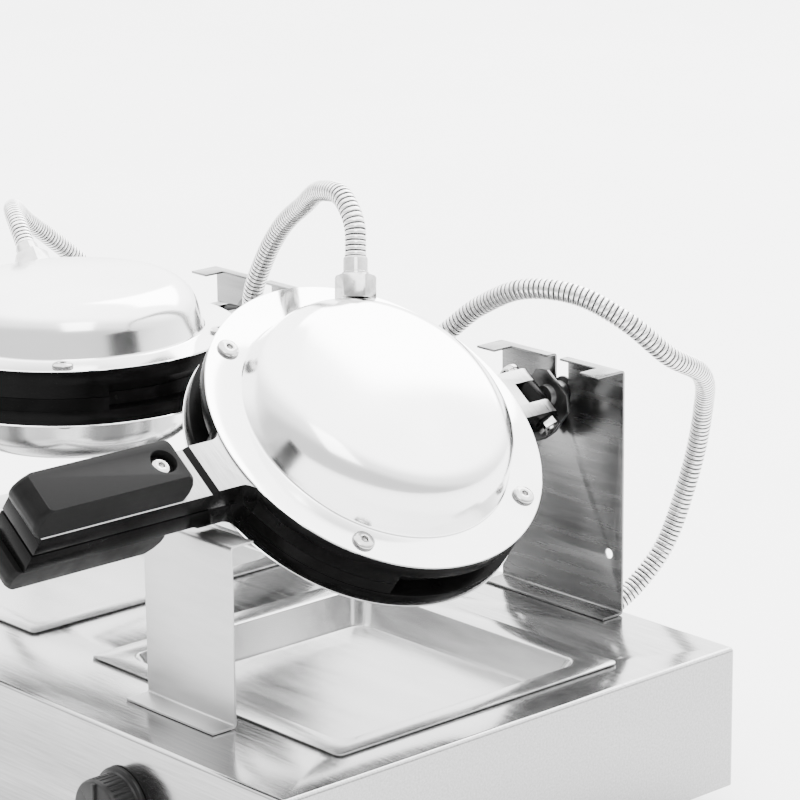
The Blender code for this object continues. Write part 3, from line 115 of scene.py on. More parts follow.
# Hose routes between the end runs, from the head's centre, as in the solids
ROUTES = {
    "right_upper": (
        (-0.070, 0.047, 0.133), (-0.099, 0.055, 0.132), (-0.132, 0.068, 0.116),
        (-0.164, 0.077, 0.096), (-0.190, 0.083, 0.069), (-0.211, 0.089, 0.036),
        (-0.224, 0.107, 0.001), (-0.226, 0.139, -0.028), (-0.222, 0.187, -0.055),
        (-0.199, 0.232, -0.081), (-0.165, 0.259, -0.113), (-0.125, 0.259, -0.147),
    ),
    "right_lower": (
        (-0.147, 0.060, 0.020), (-0.152, 0.093, 0.019), (-0.136, 0.121, 0.017),
        (-0.097, 0.138, 0.019), (-0.055, 0.150, 0.050), (-0.019, 0.154, 0.066),
        (0.014, 0.168, 0.065), (0.039, 0.185, 0.050), (0.051, 0.210, 0.026),
        (0.044, 0.249, 0.005), (0.020, 0.277, -0.031), (0.004, 0.281, -0.081),
        (-0.008, 0.264, -0.135),
    ),
    "left_upper": (
        (-0.146, 0.060, 0.068), (-0.170, 0.088, 0.052), (-0.180, 0.124, 0.026),
        (-0.174, 0.162, -0.010), (-0.158, 0.198, -0.046), (-0.139, 0.232, -0.082),
        (-0.122, 0.256, -0.116), (-0.108, 0.252, -0.149),
    ),
    "left_lower": (
        (-0.145, 0.062, -0.074), (-0.165, 0.094, -0.084), (-0.164, 0.136, -0.086),
        (-0.145, 0.180, -0.086), (-0.112, 0.216, -0.088), (-0.073, 0.242, -0.096),
        (-0.040, 0.258, -0.114), (-0.021, 0.253, -0.145),
    ),
}

# Turns and mirrors: x and y of an outline to y and z, or to x and z; upper half to lower half
TO_X = Matrix(((0, 0, 1, 0), (1, 0, 0, 0), (0, 1, 0, 0), (0, 0, 0, 1)))
TO_Y = Matrix(((1, 0, 0, 0), (0, 0, 1, 0), (0, 1, 0, 0), (0, 0, 0, 1)))
FLIP = Matrix.Diagonal((1, 1, -1, 1))
SIDES = {"upper": Matrix(), "lower": FLIP}
BASE = Matrix.Translation((0, ROW_SHIFT, 0))


def head_place(side):
    """Where a head's own frame lies in the row."""
    x, tilt = HEADS[side]
    return BASE @ Matrix.Translation((x, 0, AXIS_Z)) @ Matrix.Rotation(tilt, 4, "Y")


def add_object(name, data):
    made = bpy.data.objects.new(name, data)
    bpy.context.collection.objects.link(made)
    return made


# Camera


def set_camera():
    """The camera at the photograph's viewing angle, a little rolled and shifted."""
    flat = math.cos(CAMERA_RISE)
    back = Vector((math.sin(CAMERA_TURN) * flat, -math.cos(CAMERA_TURN) * flat, math.sin(CAMERA_RISE)))
    right = Vector((math.cos(CAMERA_TURN), math.sin(CAMERA_TURN), 0))
    up = back.cross(right)
    right_rolled = right * math.cos(CAMERA_ROLL) + up * math.sin(CAMERA_ROLL)
    up_rolled = up * math.cos(CAMERA_ROLL) - right * math.sin(CAMERA_ROLL)
    centre = Vector((HEAD_X, ROW_SHIFT, AXIS_Z))
    spot = centre + back * CAMERA_DISTANCE + right_rolled * CAMERA_RIGHT + up_rolled * CAMERA_UP
    data = bpy.data.cameras.new("camera")
    data.sensor_width, data.lens = SENSOR_WIDTH, LENS
    data.clip_start, data.clip_end = NEAREST, FARTHEST
    made = add_object("camera", data)
    turn = Matrix((right_rolled, up_rolled, back)).transposed().to_4x4()
    made.matrix_world = Matrix.Translation(spot) @ turn
    bpy.context.scene.camera = made


# Finishes


def look(name, dark, light, rough, metallic, grain, stretch=(1, 1, 1), bump=0.0,
         bump_grain=900.0, specular=0.5, index=1.45):
    """A procedural finish: colour and roughness drift with one noise, a second gives the relief."""
    drift_low, drift_high, drift_detail = 0.30, 0.70, 6
    relief_depth, relief_detail = 0.0002, 4
    made = bpy.data.materials.new(name)
    made.use_nodes = True
    nodes, links = made.node_tree.nodes, made.node_tree.links
    shader = nodes["Principled BSDF"]
    shader.inputs["Metallic"].default_value = metallic
    shader.inputs["Specular IOR Level"].default_value = specular
    shader.inputs["IOR"].default_value = index
    place = nodes.new("ShaderNodeTexCoord")
    scale = nodes.new("ShaderNodeMapping")
    scale.inputs["Scale"].default_value = stretch
    links.new(place.outputs["Object"], scale.inputs["Vector"])
    drift = nodes.new("ShaderNodeTexNoise")
    drift.inputs["Scale"].default_value = grain
    drift.inputs["Detail"].default_value = drift_detail
    links.new(scale.outputs["Vector"], drift.inputs["Vector"])
    colours = nodes.new("ShaderNodeValToRGB")
    first, last = colours.color_ramp.elements
    first.position, first.color = drift_low, (*dark, 1)
    last.position, last.color = drift_high, (*light, 1)
    links.new(drift.outputs["Fac"], colours.inputs["Fac"])
    links.new(colours.outputs["Color"], shader.inputs["Base Color"])
    spread = nodes.new("ShaderNodeMapRange")
    spread.inputs["From Min"].default_value = drift_low
    spread.inputs["From Max"].default_value = drift_high
    spread.inputs["To Min"].default_value, spread.inputs["To Max"].default_value = rough
    links.new(drift.outputs["Fac"], spread.inputs["Value"])
    links.new(spread.outputs["Result"], shader.inputs["Roughness"])
    if bump:
        fine = nodes.new("ShaderNodeTexNoise")
        fine.inputs["Scale"].default_value = bump_grain
        fine.inputs["Detail"].default_value = relief_detail
        links.new(scale.outputs["Vector"], fine.inputs["Vector"])
        relief = nodes.new("ShaderNodeBump")
        relief.inputs["Strength"].default_value = bump
        relief.inputs["Distance"].default_value = relief_depth
        links.new(fine.outputs["Fac"], relief.inputs["Height"])
        links.new(relief.outputs["Normal"], shader.inputs["Normal"])
    return made


def grey(value, warm=0.0):
    return (value + warm, value, value - warm)


# Each finish: name, darkest and lightest colour, roughness range, metallic, grain, stretch, relief
LOOKS = {
    "mirror": look("dome_steel", grey(0.76), grey(0.84), (0.13, 0.19), 1.0, 14, bump=0.02,
                   bump_grain=60),
    "flange": look("flange_steel", grey(0.74), grey(0.82), (0.05, 0.10), 1.0, 30, bump=0.01,
                   bump_grain=120),
    "sheet": look("sheet_steel", grey(0.33), grey(0.41), (0.20, 0.27), 1.0, 16, (1, 6, 6), 0.02, 90),
    "rest": look("rest_steel", grey(0.36), grey(0.43), (0.34, 0.42), 1.0, 20, (1, 6, 6), 0.03, 90),
    # The bracket's steel is painted much darker than bare steel, standing in for the dark surroundings it
    # reflects
    "bracket": look("bracket_steel", grey(0.15), grey(0.22), (0.22, 0.30), 1.0, 12, (1, 14, 14), 0.02, 60),
    "brushed": look("brushed_steel", grey(0.26), grey(0.36), (0.13, 0.21), 1.0, 24, (1, 30, 30), 0.03, 60),
    "fastener": look("fastener_steel", grey(0.34, 0.003), grey(0.48, 0.003), (0.08, 0.17), 1.0, 200,
                     bump=0.02),
    "plate": look("swivel_plate_steel", grey(0.07), grey(0.13), (0.28, 0.42), 1.0, 90, bump=0.08),
    "hose": look("hose_steel", grey(0.66, 0.004), grey(0.78, 0.004), (0.20, 0.30), 1.0, 90, bump=0.02),
    # Dark steel on the hose's groove faces: painted shade for the shade deep in the narrow grooves
    "groove": look("hose_groove_painted_shade", grey(0.05), grey(0.12), (0.50, 0.70), 0.6, 200),
    # Darker steel for the sides of screw heads: painted shade under their lit tops
    "rim": look("screw_side_painted_shade", grey(0.10), grey(0.18), (0.30, 0.45), 0.9, 300),
    "cast": look("cast_black", grey(0.0014), grey(0.0026), (0.20, 0.28), 0.0, 60, bump=0.05,
                 bump_grain=700, specular=0.20, index=1.18),
    "machined": look("machined_aluminium", grey(0.28), grey(0.40), (0.26, 0.40), 1.0, 60, (1, 14, 1),
                     0.10, 90),
    "grip": look("grip_plastic", grey(0.0030), grey(0.0046), (0.40, 0.52), 0.0, 80, bump=0.12,
                 bump_grain=1400, specular=0.20, index=1.25),
    "control": look("knob_plastic", grey(0.006), grey(0.009), (0.30, 0.42), 0.0, 80, bump=0.08,
                    bump_grain=1600, specular=0.30, index=1.30),
    "rubber": look("rubber_black", grey(0.006), grey(0.010), (0.70, 0.90), 0.0, 120, bump=0.20,
                   specular=0.30, index=1.30),
    "heater": look("heater_metal", grey(0.10, 0.012), grey(0.26, 0.02), (0.42, 0.62), 0.9, 200,
                   bump=0.10),
    "ceramic": look("ceramic_body", (0.66, 0.63, 0.57), (0.78, 0.76, 0.70), (0.50, 0.70), 0.0, 90,
                    bump=0.12),
}


# Shapes


def bridge(bm, near, far):
    """Faces between two rings of as many vertices, or between a ring and a single one."""
    for k in range(max(len(near), len(far))):
        loop = [near[k % len(near)], near[(k + 1) % len(near)]]
        loop += [far[(k + 1) % len(far)], far[k % len(far)]]
        corners = list(dict.fromkeys(loop))
        if len(corners) > 2:
            bm.faces.new(corners)


def stack(levels, place=Matrix()):
    """A closed body through outlines of x and y, each at its own height."""

    def add(bm):
        rings = [[bm.verts.new(place @ Vector((x, y, z))) for x, y in outline] for outline, z in levels]
        for near, far in zip(rings, rings[1:]):
            bridge(bm, near, far)
        bm.faces.new(rings[0])
        bm.faces.new(rings[-1])

    return add


def lift(outline, low, high, place=Matrix()):
    return stack(((outline, low), (outline, high)), place)


def across(profile, low, high, place=Matrix()):
    """An outline of y and z swept along x."""
    return lift(profile, low, high, place @ TO_X)


def along(profile, low, high):
    """An outline of x and z swept along y."""
    return lift(profile, low, high, TO_Y)


def block(low, high):
    outline = ((low[0], low[1]), (high[0], low[1]), (high[0], high[1]), (low[0], high[1]))
    return lift(outline, low[2], high[2])


def turned(profile, sides, place=Matrix()):
    """A solid of revolution about z. A profile off the axis at both ends is a closed loop."""

    def add(bm):
        rings = []
        for radius, z in profile:
            count = sides if radius > 0 else 1
            turns = [2 * math.pi * (k + 0.5) / sides for k in range(count)]
            spots = [Vector((radius * math.cos(t), radius * math.sin(t), z)) for t in turns]
            rings.append([bm.verts.new(place @ spot) for spot in spots])
        pairs = list(zip(rings, rings[1:]))
        if profile[0][0] > 0:
            pairs.append((rings[-1], rings[0]))
        for near, far in pairs:
            bridge(bm, near, far)

    return add


def circle(radius, sides, centre=(0, 0)):
    return arc(radius, centre, 0, 2 * math.pi, sides)[:-1]


def arc(radius, centre, first, last, steps):
    turns = [first + (last - first) * k / steps for k in range(steps + 1)]
    return [(centre[0] + radius * math.cos(t), centre[1] + radius * math.sin(t)) for t in turns]


def rod(radius, low, high, sides, place=Matrix()):
    return turned(((0, low), (radius, low), (radius, high), (0, high)), sides, place)


def rounded(low, high, radius, steps=6):
    """A rectangle's outline with round corners."""
    x0, y0, x1, y1 = *low, *high
    quarter = math.pi / 2
    points = []
    for k, (x, y) in enumerate(((x1 - radius, y1 - radius), (x0 + radius, y1 - radius),
                                (x0 + radius, y0 + radius), (x1 - radius, y0 + radius))):
        points += arc(radius, (x, y), quarter * k, quarter * (k + 1), steps)
    return points


def quarter(start, end, steps):
    """A quarter of an ellipse in an outline, upright at its start and level at its end."""
    turns = [math.pi / 2 * k / steps for k in range(steps)]
    wide, high = start[0] - end[0], end[1] - start[1]
    return [(end[0] + wide * math.cos(t), start[1] + high * math.sin(t)) for t in turns] + [end]


def between(points, x):
    """The height at x of the line through points."""
    pairs = zip(points, points[1:])
    return next(b0 + (b1 - b0) * (x - a0) / (a1 - a0) for (a0, b0), (a1, b1) in pairs if x <= a1)


def plain(shapes):
    """A bare object from closed shapes, its faces facing out."""
    bm = bmesh.new()
    for shape in shapes:
        shape(bm)
    bmesh.ops.recalc_face_normals(bm, faces=bm.faces)
    mesh = bpy.data.meshes.new("shape")
    bm.to_mesh(mesh)
    bm.free()
    return add_object("shape", mesh)


def settle(made):
    """Applies an object's modifiers to its mesh."""
    bpy.context.view_layer.update()
    done = made.evaluated_get(bpy.context.evaluated_depsgraph_get())
    mesh = bpy.data.meshes.new_from_object(done)
    made.modifiers.clear()
    made.data = mesh


def join(made, shapes, operation):
    """Fuses on, cuts away or keeps closed shapes one after another. A list of them counts as one."""
    for shape in shapes:
        helper = plain(shape if isinstance(shape, list) else [shape])
        change = made.modifiers.new("join", "BOOLEAN")
        change.operation, change.solver, change.object = operation, "EXACT", helper
        settle(made)
        bpy.data.objects.remove(helper, do_unlink=True)


def soften(made, width, segments, angle):
    """Rounds the edges that are sharper than an angle in degrees."""
    edge = made.modifiers.new("edges", "BEVEL")
    edge.width, edge.segments, edge.use_clamp_overlap = width, segments, True
    edge.limit_method, edge.angle_limit = "ANGLE", math.radians(angle)
    settle(made)


def mesh_of(made):
    """The mesh of a helper object, which is removed."""
    mesh = made.data
    bpy.data.objects.remove(made, do_unlink=True)
    return mesh


def shell(shapes, fused=(), cuts=(), bevel=0.0, segments=2, angle=35):
    """A mesh from shapes with its fusions, cuts and softened edges."""
    made = plain(shapes)
    join(made, fused, "UNION")
    join(made, cuts, "DIFFERENCE")
    if bevel:
        soften(made, bevel, segments, angle)
    return mesh_of(made)


def show(name, mesh, finish, body, place, nodes=(), sharp=38, second=None):
    """A visible piece: its mesh placed, finished, and riding on its body.

    Edges sharper than sharp, in degrees, stay sharp. second is a further finish with the rule for
    the faces that carry it, in the piece's own frame.
    """
    mesh = mesh.copy()
    mesh.name = name
    mesh.transform(place)
    if place.determinant() < 0:
        mesh.flip_normals()
    mesh.materials.clear()
    mesh.materials.append(LOOKS[finish])
    if second:
        other, rule = second
        mesh.materials.append(LOOKS[other])
        turn_back = place.inverted()
        spin = place.to_3x3().inverted()
        for face in mesh.polygons:
            face.material_index = int(rule(turn_back @ face.center, spin @ face.normal))
    mesh.shade_smooth()
    mesh.set_sharp_from_angle(angle=math.radians(sharp))
    made = add_object(name, mesh)
    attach(made, body)
    if nodes:
        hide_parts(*nodes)
    return made


# Hoses


def smooth_path(spots, start_way, end_way, steps=8):
    """Points of a smooth curve through the spots, with its directions at both ends."""
    gaps = [(after - spot).length for spot, after in zip(spots, spots[1:])]
    slopes = [(after - spot) / gap for spot, after, gap in zip(spots, spots[1:], gaps)]
    tangents = [start_way]
    for k in range(1, len(spots) - 1):
        before, after = gaps[k - 1], gaps[k]
        tangents.append((slopes[k - 1] * after + slopes[k] * before) / (before + after))
    tangents.append(end_way)
    fine = []
    for k, gap in enumerate(gaps):
        for n in range(steps):
            t = n / steps
            rise, fall = t * t * (3 - 2 * t), t * (1 - t)
            ease = spots[k] * (1 - rise) + spots[k + 1] * rise
            fine.append(ease + (tangents[k] * (1 - t) - tangents[k + 1] * t) * fall * gap)
    fine.append(spots[-1])
    return fine


def length_of(path):
    return sum((far - near).length for near, far in zip(path, path[1:]))


def rib_points(path, ribs):
    """Ring centres along a path: for each rib the groove's floor and the four corners of the crest."""
    lengths = [0.0]
    for near, far in zip(path, path[1:]):
        lengths.append(lengths[-1] + (far - near).length)
    spots, k = [], 0
    shares = [n + share for n in range(ribs) for share, _ in RIB]
    for share in shares + [ribs]:
        target = lengths[-1] * share / ribs
        while k < len(path) - 2 and lengths[k + 1] < target:
            k += 1
        spots.append(path[k].lerp(path[k + 1], (target - lengths[k]) / (lengths[k + 1] - lengths[k])))
    return spots


def ribbed(path, sides=20):
    """A hose's tube through its ring centres, with wide crests and narrow grooves."""
    turns = [2 * math.pi * n / sides for n in range(sides)]

    def add(bm):
        rings, up = [], None
        for k, spot in enumerate(path):
            ahead = (path[min(k + 1, len(path) - 1)] - path[max(k - 1, 0)]).normalized()
            up = ahead.orthogonal() if up is None else up
            up = (up - ahead * up.dot(ahead)).normalized()
            right = ahead.cross(up)
            radius = HOSE_RADIUS - HOSE_GROOVE * RIB[k % len(RIB)][1]
            ways = [up * math.cos(t) + right * math.sin(t) for t in turns]
            rings.append([bm.verts.new(spot + way * radius) for way in ways])
        for k, (near, far) in enumerate(zip(rings, rings[1:])):
            first = len(bm.faces)
            bridge(bm, near, far)
            # The faces down into each groove take the second finish, painted shade for the dark in the
            # groove
            if k % len(RIB) in (0, len(RIB) - 1):
                bm.faces.ensure_lookup_table()
                for face in bm.faces[first:]:
                    face.material_index = 1
        bm.faces.new(rings[0])
        bm.faces.new(rings[-1])

    return add


def dome_points(radius, height, shoulder, steps=16):
    """The cover's section from the foot of the dome to its crown."""
    wall, crown = math.radians(14), math.radians(7)
    rise, side = math.tan(crown / 2), math.tan(wall)
    sink, edge = shoulder * math.cos(crown), shoulder * math.sin(crown)
    reach = shoulder * (math.cos(wall) + math.sin(wall) * side)
    centre = (radius - reach - (height - sink - rise * edge) * side) / (1 - rise * side)
    level = height - rise * (centre + edge) - sink
    points = arc(shoulder, (centre, level), wall, math.pi / 2 - crown, steps)
    return [(radius, 0)] + points, (centre, level)


def aimed(axis):
    """The turn that lays z along an axis."""
    return axis.to_track_quat("Z", "Y").to_matrix().to_4x4()


def gland_frame(level):
    """Where a hose nut stands on its cover's shoulder."""
    _, (centre, height) = dome_points(DOME_RADIUS, DOME_HEIGHT, DOME_SHOULDER)
    radius = centre + DOME_SHOULDER * math.cos(GLAND_SEAT_LIFT)
    lift_off = COVER_TOP + height + DOME_SHOULDER * math.sin(GLAND_SEAT_LIFT)
    seat = Vector((radius * math.cos(GLAND_ANGLE), radius * math.sin(GLAND_ANGLE), lift_off))
    flat = math.cos(GLAND_LIFT)
    axis = Vector((flat * math.cos(GLAND_ANGLE), flat * math.sin(GLAND_ANGLE), math.sin(GLAND_LIFT)))
    return SIDES[level] @ Matrix.Translation(seat + axis * GLAND_OFF_DOME) @ aimed(axis)


def panel_frame(x):
    """Where a gland stands on the rear wall, facing back."""
    return Matrix.Translation((x, HOUSING_REAR + FIT_GAP, REAR_GLAND_Z)) @ aimed(Vector((0, 1, 0)))


def hose_path(side, level):
    """Ring centres of one hose from its cover's gland to the rear panel, in the row frame."""
    x = HEADS[side][0]
    mouth = head_place(side) @ gland_frame(level) @ Matrix.Translation((0, 0, GLAND_REACH + FIT_GAP))
    base = BASE @ panel_frame(x + GLAND_X[level])
    base = base @ Matrix.Translation((0, 0, GLAND_REACH + PANEL_SHEET / 2 + FIT_GAP))
    start, start_way = mouth.translation, mouth.to_3x3().col[2].normalized()
    end, end_way = base.translation, base.to_3x3().col[2].normalized()
    centre = Vector((x, ROW_SHIFT, AXIS_Z))
    run = 2 * HOSE_RADIUS
    route = [centre + Vector(p) for p in ROUTES[f"{side}_{level}"]]
    spots = [start + start_way * run, *route, end + end_way * run]
    path = [start, *smooth_path(spots, start_way, -end_way), end]
    return rib_points(path, round(length_of(path) / HOSE_RIB_PITCH))


def hose(name, path, nodes=()):
    """One length of hose between two bodies."""
    sharp = 50
    mesh = shell([ribbed(path)])
    made = add_object(name, mesh)
    mesh.name = name
    mesh.materials.append(LOOKS["hose"])
    # The second finish is painted shade in the hose's grooves
    mesh.materials.append(LOOKS["groove"])
    mesh.shade_smooth()
    mesh.set_sharp_from_angle(angle=math.radians(sharp))
    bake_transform(made)
    if nodes:
        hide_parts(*nodes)


def make_hoses():
    """A lower hose in one length, and an upper one in two, because it crosses two joints."""
    for side in HEADS:
        path = hose_path(side, "lower")
        hose(f"{side}_lower_hose", path, [f"{side}_lower_conduit"])
        path = hose_path(side, "upper")
        split = len(RIB) * round(len(path) / len(RIB) * NEAR_HOSE_SHARE)
        near, far = path[: split + 1], path[split:]
        hose(f"{side}_upper_hose_near", near, [f"{side}_upper_conduit"])
        hose(f"{side}_upper_hose_far", far)


# Heads


def cavity_centres():
    """Centres of the bubbles, in rows set over by half a pitch."""
    row_pitch = CAVITY_PITCH * math.sqrt(3) / 2
    centres = []
    for row, count in enumerate(CAVITY_ROWS):
        y = (row - (len(CAVITY_ROWS) - 1) / 2) * row_pitch
        centres += [((k - (count - 1) / 2) * CAVITY_PITCH, y) for k in range(count)]
    return centres


def bubble(centre, side):
    """The round cutter of one bubble."""
    floor, steps = PARTING + MOULD_RECESS, 6
    mouth = floor - MOULD_RECESS / 2
    bowl = quarter((CAVITY_RADIUS, floor), (0, floor + CAVITY_DEPTH), steps)
    profile = [(0, mouth), (CAVITY_RADIUS, mouth), *bowl]
    return turned(profile, SMALL, side @ Matrix.Translation((*centre, 0)))


def waist_outline():
    """The casting's waist, wider over the stretch where the photograph shows a lobe."""
    lobe_steps, waist_steps = 40, 120
    lobe = arc(LOBE_RADIUS, (0, 0), LOBE_START, LOBE_END, lobe_steps)
    return lobe + arc(WAIST_RADIUS, (0, 0), LOBE_END, LOBE_START + 2 * math.pi, waist_steps)


def hinge_profile(sign):
    """The section of an ear, or mirrored of the knuckle, round the hinge."""
    dip = math.asin(PARTING / EAR_RADIUS)
    round_end = arc(EAR_RADIUS, (HINGE_Y, 0), math.pi / 2, -math.pi - dip, ROUND)
    return [(y, z * sign) for y, z in [(HINGE_ROOT, PARTING), (HINGE_ROOT, EAR_RADIUS)] + round_end]


def upper_hinge():
    """The two ears, with the web between them in front of the hinge."""
    ear, web_half = hinge_profile(1), EAR_INNER + 0.001
    web = block((-web_half, HINGE_ROOT, PARTING), (web_half, WEB_END, EAR_RADIUS))
    return [across(ear, -EAR_OUTER, -EAR_INNER), across(ear, EAR_INNER, EAR_OUTER), web]


def lower_hinge():
    """The knuckle, and the lug over the swivel plate's foot, clear of the cover's flange."""
    half, deep, clear = EAR_INNER - FIT_GAP, -(COVER_TOP + LUG_DROP), 0.002
    rim, seat = FLANGE_RADIUS + clear, COVER_SHEET - CASTING_TOP
    lug = ((HINGE_ROOT, -PARTING), (LUG_END, -PARTING), (LUG_END, deep), (rim, deep), (rim, seat),
           (HINGE_ROOT, seat))
    return [across(hinge_profile(-1), -half, half), across(lug, -LUG_HALF, LUG_HALF)]


def casting_mesh(level):
    """One mould half with its boss, its arm and its part of the hinge, in the head's frame."""
    side = SIDES[level]
    foot, fillet_steps = BOSS_END + STEP_RUN, 10
    beam = ((-ARM_START, PARTING), (-ARM_START, CASTING_TOP), (-BOSS_END, CASTING_TOP), (-foot, SEAT_Z),
            (-ARM_END, SEAT_Z), (-ARM_END, SLOT_HALF_GAP), (-BOSS_END, SLOT_HALF_GAP), (-BOSS_END, PARTING))
    wide = BOSS_HALF + BOSS_FILLET
    rim = math.sqrt(CASTING_RIM**2 - wide**2)
    root = [(wide, -ARM_START), (wide, -rim)]
    root += arc(BOSS_FILLET, (wide, -rim - BOSS_FILLET), math.pi / 2, math.pi, fillet_steps)[1:]
    root += [(-x, y) for x, y in root[::-1]]
    fused = [
        lift(waist_outline(), PARTING, WAIST_HEIGHT + MOULD_RECESS, side),
        across(beam, -BOSS_HALF, BOSS_HALF, side),
        lift(root, PARTING, CASTING_TOP - FIT_GAP / 3, side),
        *(upper_hinge() if level == "upper" else lower_hinge()),
    ]
    pin_reach = EAR_OUTER + OVERRUN
    cuts = [
        lift(circle(MOULD_RADIUS, FINE), PARTING - OVERRUN, PARTING + MOULD_RECESS, side),
        across(circle(PIN_RADIUS + FIT_GAP, SMALL, (HINGE_Y, 0)), -pin_reach, pin_reach),
        [bubble(centre, side) for centre in cavity_centres()],
    ]
    band = [lift(circle(CASTING_RIM, FINE), WAIST_HEIGHT, CASTING_TOP, side)]
    return shell(band, fused, cuts, bevel=0.0007, angle=40)


def cover_mesh():
    """The cover's section turned, with a small radius where the dome leaves its flange."""
    outer, _ = dome_points(DOME_RADIUS, DOME_HEIGHT, DOME_SHOULDER)
    inner, _ = dome_points(DOME_RADIUS - COVER_SHEET, DOME_HEIGHT, DOME_SHOULDER - COVER_SHEET)
    low, ease_in, ease_up = COVER_TOP - COVER_SHEET, 0.0004, 0.0003
    inside = [(r, z + low) for r, z in inner] + [(0, DOME_HEIGHT + low)]
    edge = [(FLANGE_RADIUS - ease_in, low), (FLANGE_RADIUS, low + ease_up),
            (FLANGE_RADIUS, COVER_TOP - ease_up), (FLANGE_RADIUS - ease_in, COVER_TOP)]
    foot = [(DOME_RADIUS + out, COVER_TOP + up) for out, up in DOME_FOOT]
    outside = [(r, z + COVER_TOP) for r, z in outer[1:]]
    radius, height = outside[-1]
    top = DOME_HEIGHT + COVER_TOP
    shares = [k / 10 for k in range(1, 10)]
    crown = [(radius * (1 - share), height + (top - height) * (1 - (1 - share) ** 2)) for share in shares]
    profile = inside[::-1] + edge + foot + outside + crown + [(0, top)]
    return shell([turned(profile, FINE)])


def screw_mesh():
    """A button head with a hex socket and a short shank."""
    flat, ease, steps = 0.0034, 0.0002, 8
    shank, shank_end, socket_radius, socket_floor = 0.0029, -0.004, 0.0023, 0.0008
    dome = quarter((SCREW_HEAD, SCREW_RIM), (flat, SCREW_HEIGHT), steps)
    profile = [(0, shank_end), (shank, shank_end), (shank, 0.0), (SCREW_HEAD - ease, 0.0),
               (SCREW_HEAD, ease), *dome, (0, SCREW_HEIGHT)]
    socket = rod(socket_radius, socket_floor, SCREW_HEIGHT + OVERRUN, HEX)
    return shell([turned(profile, ROUND)], cuts=[socket], bevel=0.00012)


def grip_mesh():
    """The grip with rounded ends, narrower towards its top, and its sunk screw seat."""
    steps, seat_radius, hole_radius = 12, 0.0081, 0.0032
    levels = []
    for k in range(steps + 1):
        height = k / steps
        setback = GRIP_NOSE * between(GRIP_NOSE_SHARES, height)
        wide = GRIP_FOOT - (GRIP_FOOT - GRIP_TOP_HALF) * height
        outline = rounded((-wide, setback - GRIP_END), (wide, -GRIP_START - setback), GRIP_CORNER)
        levels.append((outline, GRIP_BOTTOM + height * GRIP_HEIGHT))
    above, below = GRIP_BOTTOM + GRIP_HEIGHT + OVERRUN, GRIP_BOTTOM - OVERRUN
    hole = ((0, above), (seat_radius, above), (seat_radius, GRIP_SCREW_Z), (hole_radius, GRIP_SCREW_Z),
            (hole_radius, below), (0, below))
    spot = Matrix.Translation((0, GRIP_SCREW_Y, 0))
    return shell([stack(levels)], cuts=[turned(hole, ROUND, spot)], bevel=0.0013, segments=4, angle=50)


def gland_mesh():
    """A hex nut chamfered at both ends, then the ferrule with its collar."""
    past, chamfer, narrow, wide = 0.0001, 0.0012, NUT_RADIUS * 0.93, NUT_RADIUS * 1.02
    cone = ((0, -past), (narrow, -past), (wide, chamfer), (wide, NUT_LENGTH - chamfer),
            (narrow, NUT_LENGTH + past), (0, NUT_LENGTH + past))
    low, collar, collar_end, slope = NUT_LENGTH - 0.0018, 0.0084, NUT_LENGTH + 0.0018, 0.0006
    mouth, mouth_run = 0.0072, 0.0013
    ferrule = ((0, low), (collar, low), (collar, collar_end), (FERRULE_RADIUS, collar_end + slope),
               (FERRULE_RADIUS, GLAND_REACH - mouth_run), (mouth, GLAND_REACH), (0, GLAND_REACH))
    made = plain([rod(NUT_RADIUS, 0, NUT_LENGTH, HEX)])
    join(made, [turned(cone, ROUND)], "INTERSECT")
    join(made, [turned(ferrule, ROUND)], "UNION")
    soften(made, 0.0003, 2, 35)
    return mesh_of(made)


def hinge_bolt_mesh():
    """The bolt through the hinge: button head with its socket, spacer, pin and nut."""
    head_radius, flat, rim, dome, steps = 0.0068, 0.0034, 0.0015, 0.0029, 6
    spacer_radius, spacer, tip = 0.0060, 0.0038, 0.0074
    nut_radius, nut_length, socket_radius, socket_floor = 0.0075, 0.0062, 0.0021, 0.002
    place = Matrix.Translation((0, HINGE_Y, 0)) @ TO_X
    ear = EAR_OUTER + FIT_GAP
    head = -(ear + spacer)
    crown = head - rim - dome
    bolt = [(0, crown), *quarter((head_radius, head - rim), (flat, crown), steps)[::-1],
            (head_radius, head), (spacer_radius, head), (spacer_radius, -ear), (PIN_RADIUS, -ear),
            (PIN_RADIUS, ear + tip), (0, ear + tip)]
    nut = rod(nut_radius, ear, ear + nut_length, HEX, place)
    socket = rod(socket_radius, crown - OVERRUN, head - socket_floor, HEX, place)
    return shell([turned(bolt, ROUND, place)], [nut], [socket], bevel=0.0003)


def swivel_mesh():
    """The angular plate behind the mould, its foot under the lug, and its shaft with the keeper."""
    plate, sheet, foot_start = 0.1555, 0.002, 0.114
    wide, low, shoulder, top_half, top = 0.0185, -0.015, 0.0045, 0.011, 0.012
    foot_top = -(COVER_TOP + LUG_DROP + FIT_GAP)
    foot_low, middle = foot_top - sheet, plate + sheet / 2
    upright = ((-LUG_HALF, foot_low), (LUG_HALF, foot_low), (wide, low), (wide, shoulder), (top_half, top),
               (-top_half, top), (-wide, shoulder), (-wide, low))
    boss, boss_reach, collar, shaft_radius = 0.0072, 0.0042, 0.0076, 0.0053
    washer, washer_sheet, tail = 0.010, 0.0016, 0.0112
    inner, keeper = BRACKET_FRONT - FIT_GAP, BRACKET_FRONT + STAND_SHEET + FIT_GAP
    shaft = ((0, plate - boss_reach), (boss, plate - boss_reach), (boss, middle), (collar, middle),
             (collar, inner), (shaft_radius, inner), (shaft_radius, keeper), (washer, keeper),
             (washer, keeper + washer_sheet), (shaft_radius, keeper + washer_sheet),
             (shaft_radius, keeper + tail), (0, keeper + tail))
    foot = block((-LUG_HALF, foot_start, foot_low), (LUG_HALF, middle, foot_top))
    return shell([along(upright, plate, plate + sheet)], [foot, turned(shaft, ROUND, TO_Y)], bevel=0.0003)


